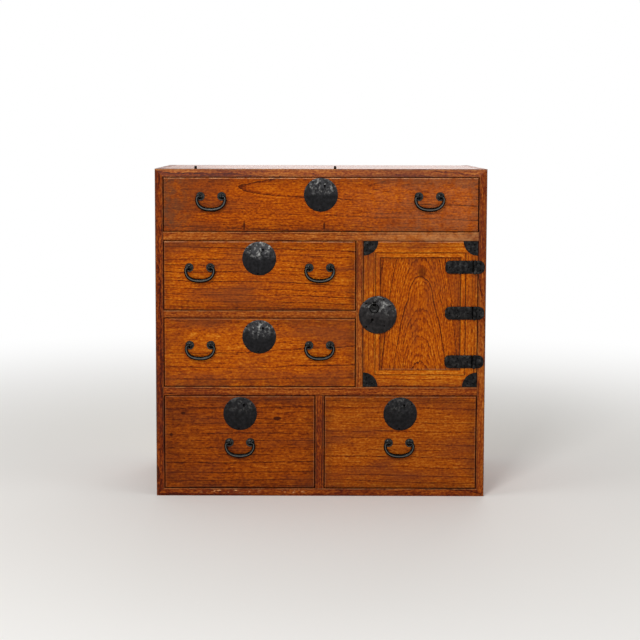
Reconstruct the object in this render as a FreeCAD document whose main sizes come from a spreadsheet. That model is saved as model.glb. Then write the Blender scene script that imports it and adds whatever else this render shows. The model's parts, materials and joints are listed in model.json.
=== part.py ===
import FreeCAD, Part
import math
import os

import Sketcher

# A Japanese clothing chest: a paulownia carcass with five drawers and a cupboard door, hung with
# wrought iron. The origin is the middle of the underside, the front faces -Y and +Z is up. mm.

# Driving dimensions
SIZES = {
    # carcass
    "case_width": 870,
    "case_depth": 430,
    "case_height": 870,
    "board": 21,
    "mitre_depth": 22,
    "back_board": 9,
    "back_rabbet": 9,
    # tiers, from the floor up
    "lower_rail_z": 270.5,
    "middle_rail_z": 477.5,
    "upper_rail_z": 682,
    "rail": 23.5,
    "middle_rail": 20,
    "rail_depth": 45,
    "dust_board": 9,
    "housing": 6,
    "tenon_setback": 12,
    "tenon_depth": 24,
    # partitions
    "upper_divider_x": 93,
    "upper_divider": 19,
    "lower_divider_x": -13.5,
    "lower_divider": 23.5,
    "cupboard_shelf_z": 478,
    "cupboard_shelf_front": 36,
    # drawers
    "drawer_recess": 1,
    "drawer_gap": 1.5,
    "front_lift": 1,
    "run_gap": 0.4,
    "front_thick": 19,
    "front_edge": 1.2,
    "front_lap": 10,
    "side_thick": 9.5,
    "side_drop": 9,
    "drawer_bottom": 7,
    "bottom_inset": 5,
    "stop_depth": 9.5,
    "stop_width": 24,
    "stop_height": 16,
    # where the iron stands on each front: from the middle of the chest, and down from the opening
    "top_lock_x": 0,
    "top_lock_drop": 46.7,
    "top_left_handle_x": -288,
    "top_right_handle_x": 284.6,
    "top_handle_drop": 51,
    "upper_lock_x": -161.7,
    "upper_lock_drop": 47.6,
    "upper_left_handle_x": -318,
    "upper_right_handle_x": -2.4,
    "upper_handle_drop": 71.5,
    "middle_lock_x": -161.8,
    "middle_lock_drop": 50.6,
    "middle_left_handle_x": -317.4,
    "middle_right_handle_x": -2.3,
    "middle_handle_drop": 73,
    "bottom_left_lock_x": -212.5,
    "bottom_left_handle_x": -213.4,
    "bottom_right_lock_x": 212,
    "bottom_right_handle_x": 209.4,
    "bottom_lock_drop": 49,
    "bottom_handle_drop": 126.6,
    # drawer locks
    "lock_plate_radius": 44.5,
    "lock_plate_thick": 3,
    "lock_plate_bevel": 1.6,
    "lock_case_width": 46,
    "lock_case_depth": 11,
    "lock_case_reach": 26,
    "bolt_width": 22,
    "bolt_thick": 3.6,
    "bolt_play": 0.3,
    "bolt_height": 36,
    "bolt_setback": 3.4,
    "bolt_retreat": 0.6,
    "bolt_notch": 5,
    "strike_depth": 9,
    "keyhole_radius": 2.9,
    "keyhole_x": 10,
    "keyhole_z": 24,
    "spring_hole_radius": 1.3,
    # bail handles
    "handle_span": 27.75,
    "handle_stand": 7.5,
    "bail_reach": 37,
    "bail_drop": 34.6,
    "bail_curl": 6,
    "bail_overhang": 4.2,
    "bail_thick": 5.6,
    "bail_side": 4.1,
    "bail_end": 2.5,
    "eye_radius": 5.2,
    "eye_hole": 2.9,
    "eye_thick": 4.2,
    "eye_shank": 4,
    "eye_leg": 10,
    "eye_leg_thick": 1.6,
    "rosette_radius": 11.5,
    "rosette_height": 2.2,
    "rosette_bevel": 1.7,
    # door
    "door_gap": 1,
    "door_hinge_gap": 1.3,
    "door_recess": 0.3,
    "door_thick": 20,
    "door_bevel": 2.2,
    "frame_width": 44,
    "frame_flat": 31,
    "frame_step": 1.2,
    "panel_recess": 2.6,
    "panel_thick": 9,
    "panel_tongue": 6,
    "corner_radius": 37.8,
    "corner_thick": 1.2,
    # door lock
    "door_plate_radius": 50,
    "door_plate_x": 150.6,
    "door_plate_z": 486,
    "door_plate_lift": 0.6,
    "door_case_left": 115.5,
    "door_case_right": 150,
    "door_bolt_left": 114.6,
    "door_bolt_length": 30,
    "boss_radius": 11.6,
    "boss_inner": 6.2,
    "boss_height": 2,
    "boss_well": 3.4,
    "boss_x": -8.7,
    "boss_z": 18,
    # strap hinges
    "hinge_x": 405,
    "hinge_low": 361.9,
    "hinge_mid": 491,
    "hinge_high": 612.6,
    "strap_width": 34.5,
    "strap_thick": 2,
    "strap_reach": 77.7,
    "leaf_reach": 26,
    "strap_round": 13,
    "leaf_round": 15,
    "barrel_radius": 4.8,
    "barrel_gap": 0.3,
    "knuckle": 12.5,
    "pin_radius": 1.8,
    "pin_play": 0.17,
    "pin_head": 2.7,
    "pin_head_height": 1.2,
    # studs on the top board
    "stud_left": -328.5,
    "stud_right": 37,
    "stud_setback": 9,
    "stud_radius": 3.5,
    "stud_height": 7.5,
    "stud_bevel": 1.4,
    "stud_shank": 1.8,
    "stud_shank_length": 15,
}

CASE_FINGERS = 5
DRAWER_FINGERS = 5
BACK_PLANKS = 5
BAIL_SIDES = 8
# flats of the round ironwork, enough for each to read as round at its size
PLATE_FLATS = 48
ROSETTE_FLATS = 16
EYE_FLATS = 12
HOLE_FLATS = 10
# the plan angles, from the side to the middle, at which the bail's U is sectioned
BAIL_STATIONS = (0, 22, 42, 60, 76, 90)
CURL_STATIONS = (90, 58, 28)
# the roundness of the bail's U: 2 would be an ellipse
BAIL_POWER = 2.35

doc = FreeCAD.newDocument("clothing_chest")
dim = doc.addObject("Spreadsheet::Sheet", "dim")
for row, (alias, value) in enumerate(SIZES.items(), start=1):
    dim.set(f"A{row}", alias)
    dim.set(f"B{row}", str(value))
    dim.setAlias(f"B{row}", alias)
doc.recompute()

# Planes of the chest, as expressions on the sheet
HALF = "dim.case_width / 2"
INSIDE = "(dim.case_width / 2 - dim.board)"
FRONT = "(-dim.case_depth / 2)"
REAR = "(dim.case_depth / 2)"
BACK = "(dim.case_depth / 2 - dim.back_board)"
TOP = "(dim.case_height - dim.board)"
LOWER_RAIL = ("dim.lower_rail_z", "(dim.lower_rail_z + dim.rail)")
MIDDLE_RAIL = ("dim.middle_rail_z", "(dim.middle_rail_z + dim.middle_rail)")
UPPER_RAIL = ("dim.upper_rail_z", "(dim.upper_rail_z + dim.rail)")
UPPER_DIVIDER = ("dim.upper_divider_x", "(dim.upper_divider_x + dim.upper_divider)")
LOWER_DIVIDER = ("dim.lower_divider_x", "(dim.lower_divider_x + dim.lower_divider)")

nodes = {}


def keep(name, made):
    """Give an object its own label and list it as one node of the chest."""
    made.Label = name
    nodes[name] = made
    return made


def number(text):
    """The present value of an expression on the sheet."""
    return float(dim.evalExpression(text))


def move(made, x, y, z):
    """Bind an object's place to three expressions."""
    for axis, text in zip("xyz", (x, y, z)):
        made.setExpression(f"Placement.Base.{axis}", text)
    return made


def block(name, x, y, z):
    """A rectangular block between two expressions along each axis."""
    made = doc.addObject("Part::Box", name)
    for side, (low, high) in zip(("Length", "Width", "Height"), (x, y, z)):
        made.setExpression(side, f"({high}) - ({low})")
    return move(made, x[0], y[0], z[0])


def joined(name, parts):
    """Several overlapping or touching objects as one solid."""
    if len(parts) == 1:
        return parts[0]
    made = doc.addObject("Part::MultiFuse", name)
    made.Shapes = parts
    made.Refine = True
    return made


def housed(name, blank, mates):
    """A blank with the space of the pieces that it takes cut out of it."""
    made = doc.addObject("Part::Cut", name)
    made.Base = blank
    made.Tool = joined(f"{name}_mates", mates)
    made.Refine = True
    return made


def group(name, parts):
    """Separate solids kept together as one node."""
    made = doc.addObject("Part::Compound", name)
    made.Links = parts
    return made


def new_body(name):
    """An empty PartDesign body."""
    return doc.addObject("PartDesign::Body", name)


def new_sketch(body, name, role, lift=None):
    """A sketch on one of the body's own planes, lifted along the plane's normal by lift."""
    sketch = body.newObject("Sketcher::SketchObject", name)
    plane = next(item for item in body.Origin.OriginFeatures if item.Role == role)
    sketch.AttachmentSupport = [(plane, "")]
    sketch.MapMode = "FlatFace"
    if lift:
        sketch.setExpression("AttachmentOffset.Base.z", lift)
    return sketch


def pin_point(sketch, geometry, point, x, y):
    """Hold one point of a sketch at two expressions measured from its origin."""
    for kind, text in (("DistanceX", x), ("DistanceY", y)):
        constraint = Sketcher.Constraint(kind, -1, 1, geometry, point, number(text))
        sketch.setExpression(f"Constraints[{sketch.addConstraint(constraint)}]", text)


def outline(sketch, points):
    """A closed outline of straight runs through points given as pairs of expressions."""
    corners = [FreeCAD.Vector(number(x), number(y), 0) for x, y in points]
    first = sketch.GeometryCount
    for here, there in zip(corners, corners[1:] + corners[:1]):
        sketch.addGeometry(Part.LineSegment(here, there), False)
    for step, (x, y) in enumerate(points):
        after = first + (step + 1) % len(points)
        sketch.addConstraint(Sketcher.Constraint("Coincident", first + step, 2, after, 1))
        pin_point(sketch, first + step, 1, x, y)


def rectangle(sketch, x, y):
    """A rectangle between two expressions along each axis."""
    outline(sketch, [(x[0], y[0]), (x[1], y[0]), (x[1], y[1]), (x[0], y[1])])


def pad(body, sketch, length, midplane=False, back=False):
    """Raise a sketch by an expression, to one side, the other or both."""
    made = body.newObject("PartDesign::Pad", f"{sketch.Name}_pad")
    made.Profile = sketch
    made.setExpression("Length", length)
    made.SideType = "Symmetric" if midplane else "One side"
    made.Reversed = back
    return made


def through_pocket(body, sketch, length):
    """Cut a sketch out to both sides of its plane."""
    made = body.newObject("PartDesign::Pocket", f"{sketch.Name}_pocket")
    made.Profile = sketch
    made.SideType = "Symmetric"
    made.setExpression("Length", length)
    return made


def prism(body, name, role, flats, radius, height, lift="0", cut=False):
    """A round piece with flats on one of the body's planes, or a hole of that form."""
    kind = "Subtractive" if cut else "Additive"
    made = body.newObject(f"PartDesign::{kind}Prism", name)
    plane = next(item for item in body.Origin.OriginFeatures if item.Role == role)
    made.AttachmentSupport = [(plane, "")]
    made.MapMode = "FlatFace"
    made.Polygon = flats
    made.setExpression("Circumradius", radius)
    made.setExpression("Height", height)
    made.setExpression("AttachmentOffset.Base.z", lift)
    return made


def ease(body, kind, feature, picked, size):
    """Chamfer or fillet the edges of a feature that a test picks."""
    doc.recompute()
    names = [f"Edge{i}" for i, edge in enumerate(feature.Shape.Edges, start=1) if picked(edge)]
    made = body.newObject(f"PartDesign::{kind}", f"{feature.Name}_{kind.lower()}")
    made.Base = (feature, names)
    made.setExpression("Size" if kind == "Chamfer" else "Radius", size)
    return made


def along(edge, axis):
    """Whether a straight edge runs along an axis."""
    run = edge.Vertexes[-1].Point - edge.Vertexes[0].Point
    return run.Length > 0.1 and abs(abs(run.normalize().dot(axis)) - 1) < 1e-6


def slot(low, high, step, count):
    """The expressions of one of count equal slots between two expressions."""
    pitch = f"(({high}) - ({low})) / {count}"
    return (f"({low}) + {step} * {pitch}", f"({low}) + {step + 1} * {pitch}")


# Carcass

# front to back, the corner starts with a mitre and goes on as a box joint
CORNER = (f"({FRONT} + dim.mitre_depth)", REAR)


def end_board(name, inner, outer, low):
    """The top or bottom board, mitred at the front and fingered into the sides behind."""
    z = (low, f"{low} + dim.board")
    parts = [block(f"{name}_core", (f"-{INSIDE}", INSIDE), (FRONT, REAR), z)]
    for step in range(1, CASE_FINGERS, 2):
        y = slot(*CORNER, step, CASE_FINGERS)
        parts.append(block(f"{name}_finger{step}", (f"-{HALF}", HALF), y, z))
    mitre = doc.addObject("Part::Wedge", f"{name}_mitre")
    mitre.Placement.Rotation = FreeCAD.Rotation(FreeCAD.Vector(1, 0, 0), 90)
    for field, text in {
        "Xmin": f"-{inner}", "Xmax": inner, "X2min": f"-{outer}", "X2max": outer,
        "Ymin": "0", "Ymax": "dim.board",
        "Zmin": "0", "Zmax": "dim.mitre_depth", "Z2min": "0", "Z2max": "dim.mitre_depth",
    }.items():
        mitre.setExpression(field, text)
    parts.append(move(mitre, "0", CORNER[0], low))
    return joined(f"{name}_blank", parts)


def shelf(name, rail, x):
    """A tier: the front rail with its stub tenons, and the dust board behind it."""
    low, high = rail
    rail_y = (FRONT, f"({FRONT} + dim.rail_depth)")
    tenon_x = (f"{x[0]} - dim.housing", f"{x[1]} + dim.housing")
    tenon_y = (f"({FRONT} + dim.tenon_setback)", f"({FRONT} + dim.tenon_setback + dim.tenon_depth)")
    front = joined(f"{name}_rail", [
        block(f"{name}_rail_core", x, rail_y, rail),
        block(f"{name}_tenon", tenon_x, tenon_y, (f"{low} + dim.housing", f"{high} - dim.housing")),
    ])
    board = block(f"{name}_dust_board", tenon_x, (rail_y[1], BACK), (f"{high} - dim.dust_board", high))
    return [front, board]


def divider(name, x, z):
    """An upright partition, stub-tenoned into the boards above and below it."""
    tenon_y = (f"({FRONT} + dim.tenon_setback)", f"({FRONT} + dim.tenon_setback + dim.tenon_depth)")
    return joined(f"{name}_blank", [
        block(f"{name}_core", x, (FRONT, BACK), z),
        block(
            f"{name}_tenon", (f"{x[0]} + dim.housing", f"{x[1]} - dim.housing"), tenon_y,
            (f"{z[0]} - dim.housing", f"{z[1]} + dim.housing"),
        ),
    ])


def back_planks():
    """The planks of the back, edge to edge in the rabbet of the four outer boards."""
    reach = f"({INSIDE} + dim.back_rabbet)"
    z = ("dim.board - dim.back_rabbet", f"{TOP} + dim.back_rabbet")
    return [
        block(f"back_plank{step + 1}", slot(f"-{reach}", reach, step, BACK_PLANKS), (BACK, REAR), z)
        for step in range(BACK_PLANKS)
    ]


def studs():
    """Two iron studs driven into the top board near its front edge."""
    made = []
    for side in ("left", "right"):
        body = new_body(f"top_stud_{side}")
        shank_drop = "-dim.stud_shank_length"
        shank_length = "dim.stud_shank_length + dim.stud_height / 2"
        prism(body, f"stud_{side}_shank", "XY_Plane", 4, "dim.stud_shank", shank_length, shank_drop)
        head = prism(
            body, f"stud_{side}_head", "XY_Plane", EYE_FLATS, "dim.stud_radius", "dim.stud_height"
        )
        ease(body, "Chamfer", head, lambda edge: edge.BoundBox.ZMin > 1, "dim.stud_bevel")
        made.append(move(body, f"dim.stud_{side}", f"{FRONT} + dim.stud_setback", "dim.case_height"))
    return made


# Drawers

class Drawer:
    """One drawer: the expressions of its opening, and where its iron stands on its front."""

    def __init__(self, key, tier, left, right, low, high, handles):
        self.name = f"{key}_drawer"
        self.left = f"({left} + dim.drawer_gap)"
        self.right = f"({right} - dim.drawer_gap)"
        self.opening = (left, right, low, high)
        self.low = f"({low} + dim.front_lift)"
        self.high = f"({high} - dim.drawer_gap)"
        self.floor = f"({low} + dim.run_gap)"
        self.face = f"({FRONT} + dim.drawer_recess)"
        self.inner = f"({FRONT} + dim.drawer_recess + dim.front_thick)"
        self.rear = f"({BACK} - dim.stop_depth - dim.run_gap)"
        self.lock_x = f"dim.{key}_lock_x"
        self.lock_z = f"({high} - dim.{tier}_lock_drop)"
        self.handle_xs = {tag: f"dim.{key}{tag}_handle_x" for tag in handles}
        self.handle_z = f"({high} - dim.{tier}_handle_drop)"
        self.bolt_y = (
            f"({self.face} + dim.bolt_setback)",
            f"({self.face} + dim.bolt_setback + dim.bolt_thick)",
        )

    def strike(self):
        """The mortise above the drawer that takes the lock bolt."""
        reach = "(dim.bolt_width / 2 + 3 * dim.bolt_play)"
        play = "3 * dim.bolt_play"
        return block(
            f"{self.name}_strike", (f"{self.lock_x} - {reach}", f"{self.lock_x} + {reach}"),
            (f"{self.bolt_y[0]} - {play}", f"{self.bolt_y[1]} + {play}"),
            (self.opening[3], f"{self.opening[3]} + dim.strike_depth"),
        )

    def stops(self):
        """Two blocks on the dust board that the back of the drawer meets."""
        z = (self.opening[2], f"{self.opening[2]} + dim.stop_height")
        y = (f"({BACK} - dim.stop_depth)", BACK)
        left, right = self.opening[:2]
        edge = "dim.housing"
        return [
            block(f"{self.name}_stop1", (f"{left} + {edge}", f"{left} + {edge} + dim.stop_width"), y, z),
            block(f"{self.name}_stop2", (f"{right} - {edge} - dim.stop_width", f"{right} - {edge}"), y, z),
        ]

    def build(self):
        """Every piece of the drawer, each in its own node."""
        bottom = self.bottom_board()
        back = self.back_board()
        sides = self.side_boards(bottom, back)
        lock_spaces = self.lock()
        pins = self.handles()
        mates = [*sides, bottom, *lock_spaces, *pins]
        front = housed(f"{self.name}_front_piece", self.front_board(), mates)
        keep(f"{self.name}_front", front)
        keep(f"{self.name}_box", group(f"{self.name}_walls", [*sides, back]))
        keep(f"{self.name}_bottom", bottom)

    def front_board(self):
        """The solid board of the front, its face edges eased."""
        body = new_body(f"{self.name}_front_blank")
        sketch = new_sketch(body, f"{self.name}_front_outline", "XZ_Plane")
        rectangle(sketch, (self.left, self.right), (self.low, self.high))
        raised = pad(body, sketch, "dim.front_thick")
        doc.recompute()
        face_y = raised.Shape.BoundBox.YMin
        ease(
            body, "Chamfer", raised,
            lambda edge: abs(edge.BoundBox.YMin - face_y) + abs(edge.BoundBox.YMax - face_y) < 1e-3,
            "dim.front_edge",
        )
        return move(body, "0", self.inner, "0")

    def bottom_board(self):
        """The bottom, let up into rabbets in the sides and the front."""
        x = (f"{self.left} + dim.bottom_inset", f"{self.right} - dim.bottom_inset")
        y = (f"{self.inner} - dim.bottom_inset", self.rear)
        return block(f"{self.name}_bottom_board", x, y, (self.floor, f"{self.floor} + dim.drawer_bottom"))

    def back_board(self):
        """The back, with fingers that pass through the ends of the sides."""
        y = (f"{self.rear} - dim.side_thick", self.rear)
        z = (f"{self.floor} + dim.drawer_bottom", f"{self.opening[3]} - dim.side_drop")
        inner_x = (f"{self.left} + dim.side_thick", f"{self.right} - dim.side_thick")
        parts = [block(f"{self.name}_back_core", inner_x, y, z)]
        for step in range(1, DRAWER_FINGERS, 2):
            fingers = slot(*z, step, DRAWER_FINGERS)
            parts.append(block(f"{self.name}_back_finger{step}", (self.left, self.right), y, fingers))
        return joined(f"{self.name}_back", parts)

    def side_boards(self, bottom, back):
        """Both sides, lapped into the front and fingered into the back."""
        y = (f"{self.inner} - dim.front_lap", self.rear)
        z = (self.floor, f"{self.opening[3]} - dim.side_drop")
        spans = {
            "left": (self.left, f"{self.left} + dim.side_thick"),
            "right": (f"{self.right} - dim.side_thick", self.right),
        }
        return [
            housed(f"{self.name}_{side}_side", block(f"{self.name}_{side}_blank", x, y, z), [bottom, back])
            for side, x in spans.items()
        ]

    def lock(self):
        """Lock case, bolt and face plate; returns the spaces that the front is cut out for."""
        half_case = "dim.lock_case_width / 2"
        half_bolt = "dim.bolt_width / 2"
        seat = f"({self.high} - dim.bolt_retreat - dim.bolt_height)"
        case_z = (f"({self.lock_z} - dim.lock_case_reach)", f"({self.lock_z} + dim.lock_case_reach)")
        channel_x = (
            f"{self.lock_x} - {half_bolt} - dim.bolt_play",
            f"{self.lock_x} + {half_bolt} + dim.bolt_play",
        )
        channel_y = (f"{self.bolt_y[0]} - dim.bolt_play", f"{self.bolt_y[1]} + dim.bolt_play")
        blank = block(
            f"{self.name}_lock_blank", (f"{self.lock_x} - {half_case}", f"{self.lock_x} + {half_case}"),
            (self.face, f"{self.face} + dim.lock_case_depth"), case_z,
        )
        channel = block(
            f"{self.name}_lock_channel", channel_x, channel_y, (f"{seat} - dim.bolt_play", self.high)
        )
        key = keyway(f"{self.name}_keyway", self.lock_x, self.face, self.lock_z)
        case = housed(f"{self.name}_lock_case", blank, [channel, key])
        plate = round_plate(f"{self.name}_plate_blank", "dim.lock_plate_radius")
        move(plate, self.lock_x, self.face, self.lock_z)
        bored = housed(f"{self.name}_plate", plate, [key])
        keep(f"{self.name}_lock_plate", group(f"{self.name}_lock", [bored, case]))
        bar = block(
            f"{self.name}_bolt_blank", (f"{self.lock_x} - {half_bolt}", f"{self.lock_x} + {half_bolt}"),
            self.bolt_y, (seat, f"{self.high} - dim.bolt_retreat"),
        )
        notch = block(
            f"{self.name}_bolt_notch", (f"{channel_x[1]} - dim.bolt_notch", channel_x[1]), channel_y,
            (f"{seat} + dim.bolt_notch", f"{seat} + 2 * dim.bolt_notch"),
        )
        keep(f"{self.name}_lock_bolt", housed(f"{self.name}_bolt", bar, [notch]))
        return [blank, channel]

    def handles(self):
        """Rosettes, eye pins and bails; the pins are returned for the front to be bored for them."""
        mounts = []
        pins = []
        for tag, x in self.handle_xs.items():
            for side, sign in (("left", "-"), ("right", "+")):
                name = f"{self.name}{tag}_{side}"
                at = f"{x} {sign} dim.handle_span"
                pin = move(eye_pin(f"{name}_eye_pin"), at, f"{self.face} - dim.handle_stand", self.handle_z)
                rosette = move(rosette_disc(f"{name}_rosette"), at, self.face, self.handle_z)
                pins.append(pin)
                mounts += [pin, rosette]
            bail = doc.addObject("Part::Feature", f"{self.name}{tag}_bail")
            bail.Shape = bail_shape()
            move(bail, x, f"{self.face} - dim.handle_stand", self.handle_z)
            keep(f"{self.name}{tag}_handle", bail)
        keep(f"{self.name}_handle_mounts", group(f"{self.name}_mounts", mounts))
        return pins


# Ironwork

def keyway(name, x, y, z):
    """The key's round hole and the small spring hole under it, through a plate and its case."""
    holes = []
    for tag, radius, drop in (("key", "dim.keyhole_radius", "0"), ("spring", "dim.spring_hole_radius", "9")):
        hole = doc.addObject("Part::Prism", f"{name}_{tag}")
        hole.Placement.Rotation = FreeCAD.Rotation(FreeCAD.Vector(1, 0, 0), 90)
        hole.Polygon = HOLE_FLATS
        hole.setExpression("Circumradius", radius)
        hole.setExpression("Height", "dim.lock_plate_thick + dim.bolt_setback + 2 * dim.bolt_play")
        move(
            hole, f"{x} + dim.keyhole_x", f"{y} + dim.bolt_setback + dim.bolt_play",
            f"{z} + dim.keyhole_z - {drop}",
        )
        holes.append(hole)
    return joined(name, holes)


def round_plate(name, radius):
    """A round forged plate, flat behind and bevelled round its front edge."""
    body = new_body(name)
    disc = prism(body, f"{name}_disc", "XZ_Plane", PLATE_FLATS, radius, "dim.lock_plate_thick")
    ease(
        body, "Chamfer", disc, lambda edge: edge.BoundBox.YMax < -number("dim.lock_plate_bevel"),
        "dim.lock_plate_bevel",
    )
    return body


def rosette_disc(name):
    """A bevelled washer under an eye pin, with a square hole for its shank."""
    body = new_body(name)
    disc = prism(body, f"{name}_disc", "XZ_Plane", ROSETTE_FLATS, "dim.rosette_radius", "dim.rosette_height")
    ease(
        body, "Chamfer", disc, lambda edge: edge.BoundBox.YMax < -number("dim.rosette_bevel"),
        "dim.rosette_bevel",
    )
    half = "dim.eye_shank / 2"
    hole = new_sketch(body, f"{name}_hole", "XZ_Plane")
    rectangle(hole, (f"-{half}", half), (f"-{half}", half))
    through_pocket(body, hole, "4 * dim.rosette_height")
    return body


def eye_pin(name):
    """A split pin: its eye about the X axis, a square shank through the front, two legs clenched."""
    inner = "(dim.handle_stand + dim.front_thick)"
    half = "dim.eye_shank / 2"
    body = new_body(name)
    prism(
        body, f"{name}_eye", "YZ_Plane", EYE_FLATS, "dim.eye_radius", "dim.eye_thick", "-dim.eye_thick / 2"
    )
    shank = new_sketch(body, f"{name}_shank", "YZ_Plane")
    rectangle(shank, ("0", f"{inner} + dim.eye_leg_thick"), (f"-{half}", half))
    pad(body, shank, "dim.eye_shank", midplane=True)
    legs = new_sketch(body, f"{name}_legs", "YZ_Plane")
    rectangle(legs, (inner, f"{inner} + dim.eye_leg_thick"), ("-dim.eye_leg", "dim.eye_leg"))
    pad(body, legs, "dim.eye_shank", midplane=True)
    prism(
        body, f"{name}_hole", "YZ_Plane", EYE_FLATS, "dim.eye_hole", "2 * dim.eye_thick", "-dim.eye_thick",
        cut=True,
    )
    return body


def bail_stations():
    """The bail's centre line from tip to tip, each station as x, z and the bar's radius there."""
    reach, drop, curl = (number(f"dim.{name}") for name in ("bail_reach", "bail_drop", "bail_curl"))
    end, side, middle = (number(f"dim.{name}") for name in ("bail_end", "bail_side", "bail_thick"))
    half = [(number("dim.handle_span - dim.bail_overhang"), 0.0, end)]
    for angle in CURL_STATIONS:
        turn = math.radians(angle)
        bar = end + (side - end) * (90 - angle) / 90
        half.append((reach - curl + curl * math.cos(turn), curl * (math.sin(turn) - 1), bar))
    for angle in BAIL_STATIONS:
        turn = math.radians(angle)
        x = reach * math.cos(turn) ** (2 / BAIL_POWER)
        z = -curl - (drop - curl) * math.sin(turn) ** (2 / BAIL_POWER)
        half.append((x, z, side + (middle - side) * angle / 90))
    return half + [(-x, z, bar) for x, z, bar in reversed(half[:-1])]


def bail_shape():
    """A drooping bail of forged bar with flats, thickest in the middle and curled into its eyes."""
    stations = bail_stations()
    places = [FreeCAD.Vector(x, 0, z) for x, z, _ in stations]
    across = FreeCAD.Vector(0, 1, 0)
    rings = []
    for step, (here, (_, _, bar)) in enumerate(zip(places, stations)):
        before = (here - places[step - 1]).normalize() if step else (places[1] - here).normalize()
        after = (places[step + 1] - here).normalize() if here is not places[-1] else before
        heading = (before + after).normalize()
        outward = heading.cross(across)
        # a mitred section is longer across the bend than the bar itself
        stretch = math.sqrt(2 / (1 + before.dot(after)))
        ring = []
        for corner in range(BAIL_SIDES):
            angle = 2 * math.pi * (corner + 0.5) / BAIL_SIDES
            ring.append(here + across * (bar * math.cos(angle)) + outward * (bar * stretch * math.sin(angle)))
        rings.append(ring)
    faces = [Part.Face(Part.makePolygon([*ring, ring[0]])) for ring in (rings[0], rings[-1])]
    for ring, following in zip(rings, rings[1:]):
        for corner in range(BAIL_SIDES):
            near = (corner + 1) % BAIL_SIDES
            for flat in (
                (ring[corner], ring[near], following[near]),
                (ring[corner], following[near], following[corner]),
            ):
                faces.append(Part.Face(Part.makePolygon([*flat, flat[0]])))
    return Part.Solid(Part.Shell(faces))


# Door

DOOR_LEFT = f"({UPPER_DIVIDER[1]} + dim.door_gap)"
DOOR_RIGHT = f"({INSIDE} - dim.door_hinge_gap)"
DOOR_LOW = f"({LOWER_RAIL[1]} + dim.door_gap)"
DOOR_HIGH = f"({UPPER_RAIL[0]} - dim.door_gap)"
DOOR_FACE = f"({FRONT} + dim.door_recess)"
DOOR_BACK = f"({FRONT} + dim.door_recess + dim.door_thick)"
HINGE_Y = f"({FRONT} - dim.barrel_radius)"
HINGE_ZS = ("dim.hinge_low", "dim.hinge_mid", "dim.hinge_high")
DOOR_BOLT_Y = (
    f"({DOOR_FACE} + dim.bolt_setback)",
    f"({DOOR_FACE} + dim.bolt_setback + dim.bolt_thick)",
)
DOOR_BOLT_Z = ("dim.door_plate_z - dim.bolt_width / 2", "dim.door_plate_z + dim.bolt_width / 2")


def frame_wedge(name, turn, corner, length, width, depth):
    """A mitred length of the door frame, or a strip of it: width and depth are low, high pairs."""
    made = doc.addObject("Part::Wedge", name)
    lean = FreeCAD.Rotation(FreeCAD.Vector(1, 0, 0), 90)
    made.Placement.Rotation = FreeCAD.Rotation(FreeCAD.Vector(0, 1, 0), turn) * lean
    for field, text in {
        "Xmin": width[0], "Xmax": f"{length} - {width[0]}",
        "X2min": width[1], "X2max": f"{length} - {width[1]}",
        "Ymin": width[0], "Ymax": width[1],
        "Zmin": depth[0], "Zmax": depth[1], "Z2min": depth[0], "Z2max": depth[1],
    }.items():
        made.setExpression(field, text)
    return move(made, corner[0], DOOR_BACK, corner[1])


def door_frame(mates):
    """Four mitred members, each with its stepped inner strip, round the pieces let into them."""
    width = f"{DOOR_RIGHT} - {DOOR_LEFT}"
    height = f"{DOOR_HIGH} - {DOOR_LOW}"
    members = {
        "bottom": (0, (DOOR_LEFT, DOOR_LOW), width),
        "left": (90, (DOOR_LEFT, DOOR_HIGH), height),
        "top": (180, (DOOR_RIGHT, DOOR_HIGH), width),
        "right": (270, (DOOR_RIGHT, DOOR_LOW), height),
    }
    made = []
    for side, (turn, corner, length) in members.items():
        blank = frame_wedge(
            f"door_{side}_blank", turn, corner, length, ("0", "dim.frame_width"), ("0", "dim.door_thick")
        )
        strip = frame_wedge(
            f"door_{side}_strip", turn, corner, length, ("dim.frame_flat", "dim.frame_width"),
            ("dim.door_thick - dim.frame_step", "dim.door_thick"),
        )
        made.append(housed(f"door_{side}_member", blank, [strip, *mates]))
    return made


def opening_bevel():
    """The sliver planed off the free edge, so that the door's back corner clears the divider."""
    made = doc.addObject("Part::Wedge", "door_bevel")
    made.Placement.Rotation = FreeCAD.Rotation(FreeCAD.Vector(1, 0, 0), 180)
    for field, text in {
        "Xmin": "0", "Xmax": "dim.door_bevel", "X2min": "0", "X2max": "0",
        "Ymin": "0", "Ymax": "dim.door_thick",
        "Zmin": "0", "Zmax": f"{DOOR_HIGH} - {DOOR_LOW}",
        "Z2min": "0", "Z2max": f"{DOOR_HIGH} - {DOOR_LOW}",
    }.items():
        made.setExpression(field, text)
    return move(made, DOOR_LEFT, DOOR_BACK, DOOR_HIGH)


def door_panel():
    """The flat panel, its edges in the grooves of the frame."""
    inset = "(dim.frame_width - dim.panel_tongue)"
    return block(
        "door_panel_board", (f"{DOOR_LEFT} + {inset}", f"{DOOR_RIGHT} - {inset}"),
        (f"{DOOR_FACE} + dim.panel_recess", f"{DOOR_FACE} + dim.panel_recess + dim.panel_thick"),
        (f"{DOOR_LOW} + {inset}", f"{DOOR_HIGH} - {inset}"),
    )


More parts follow.
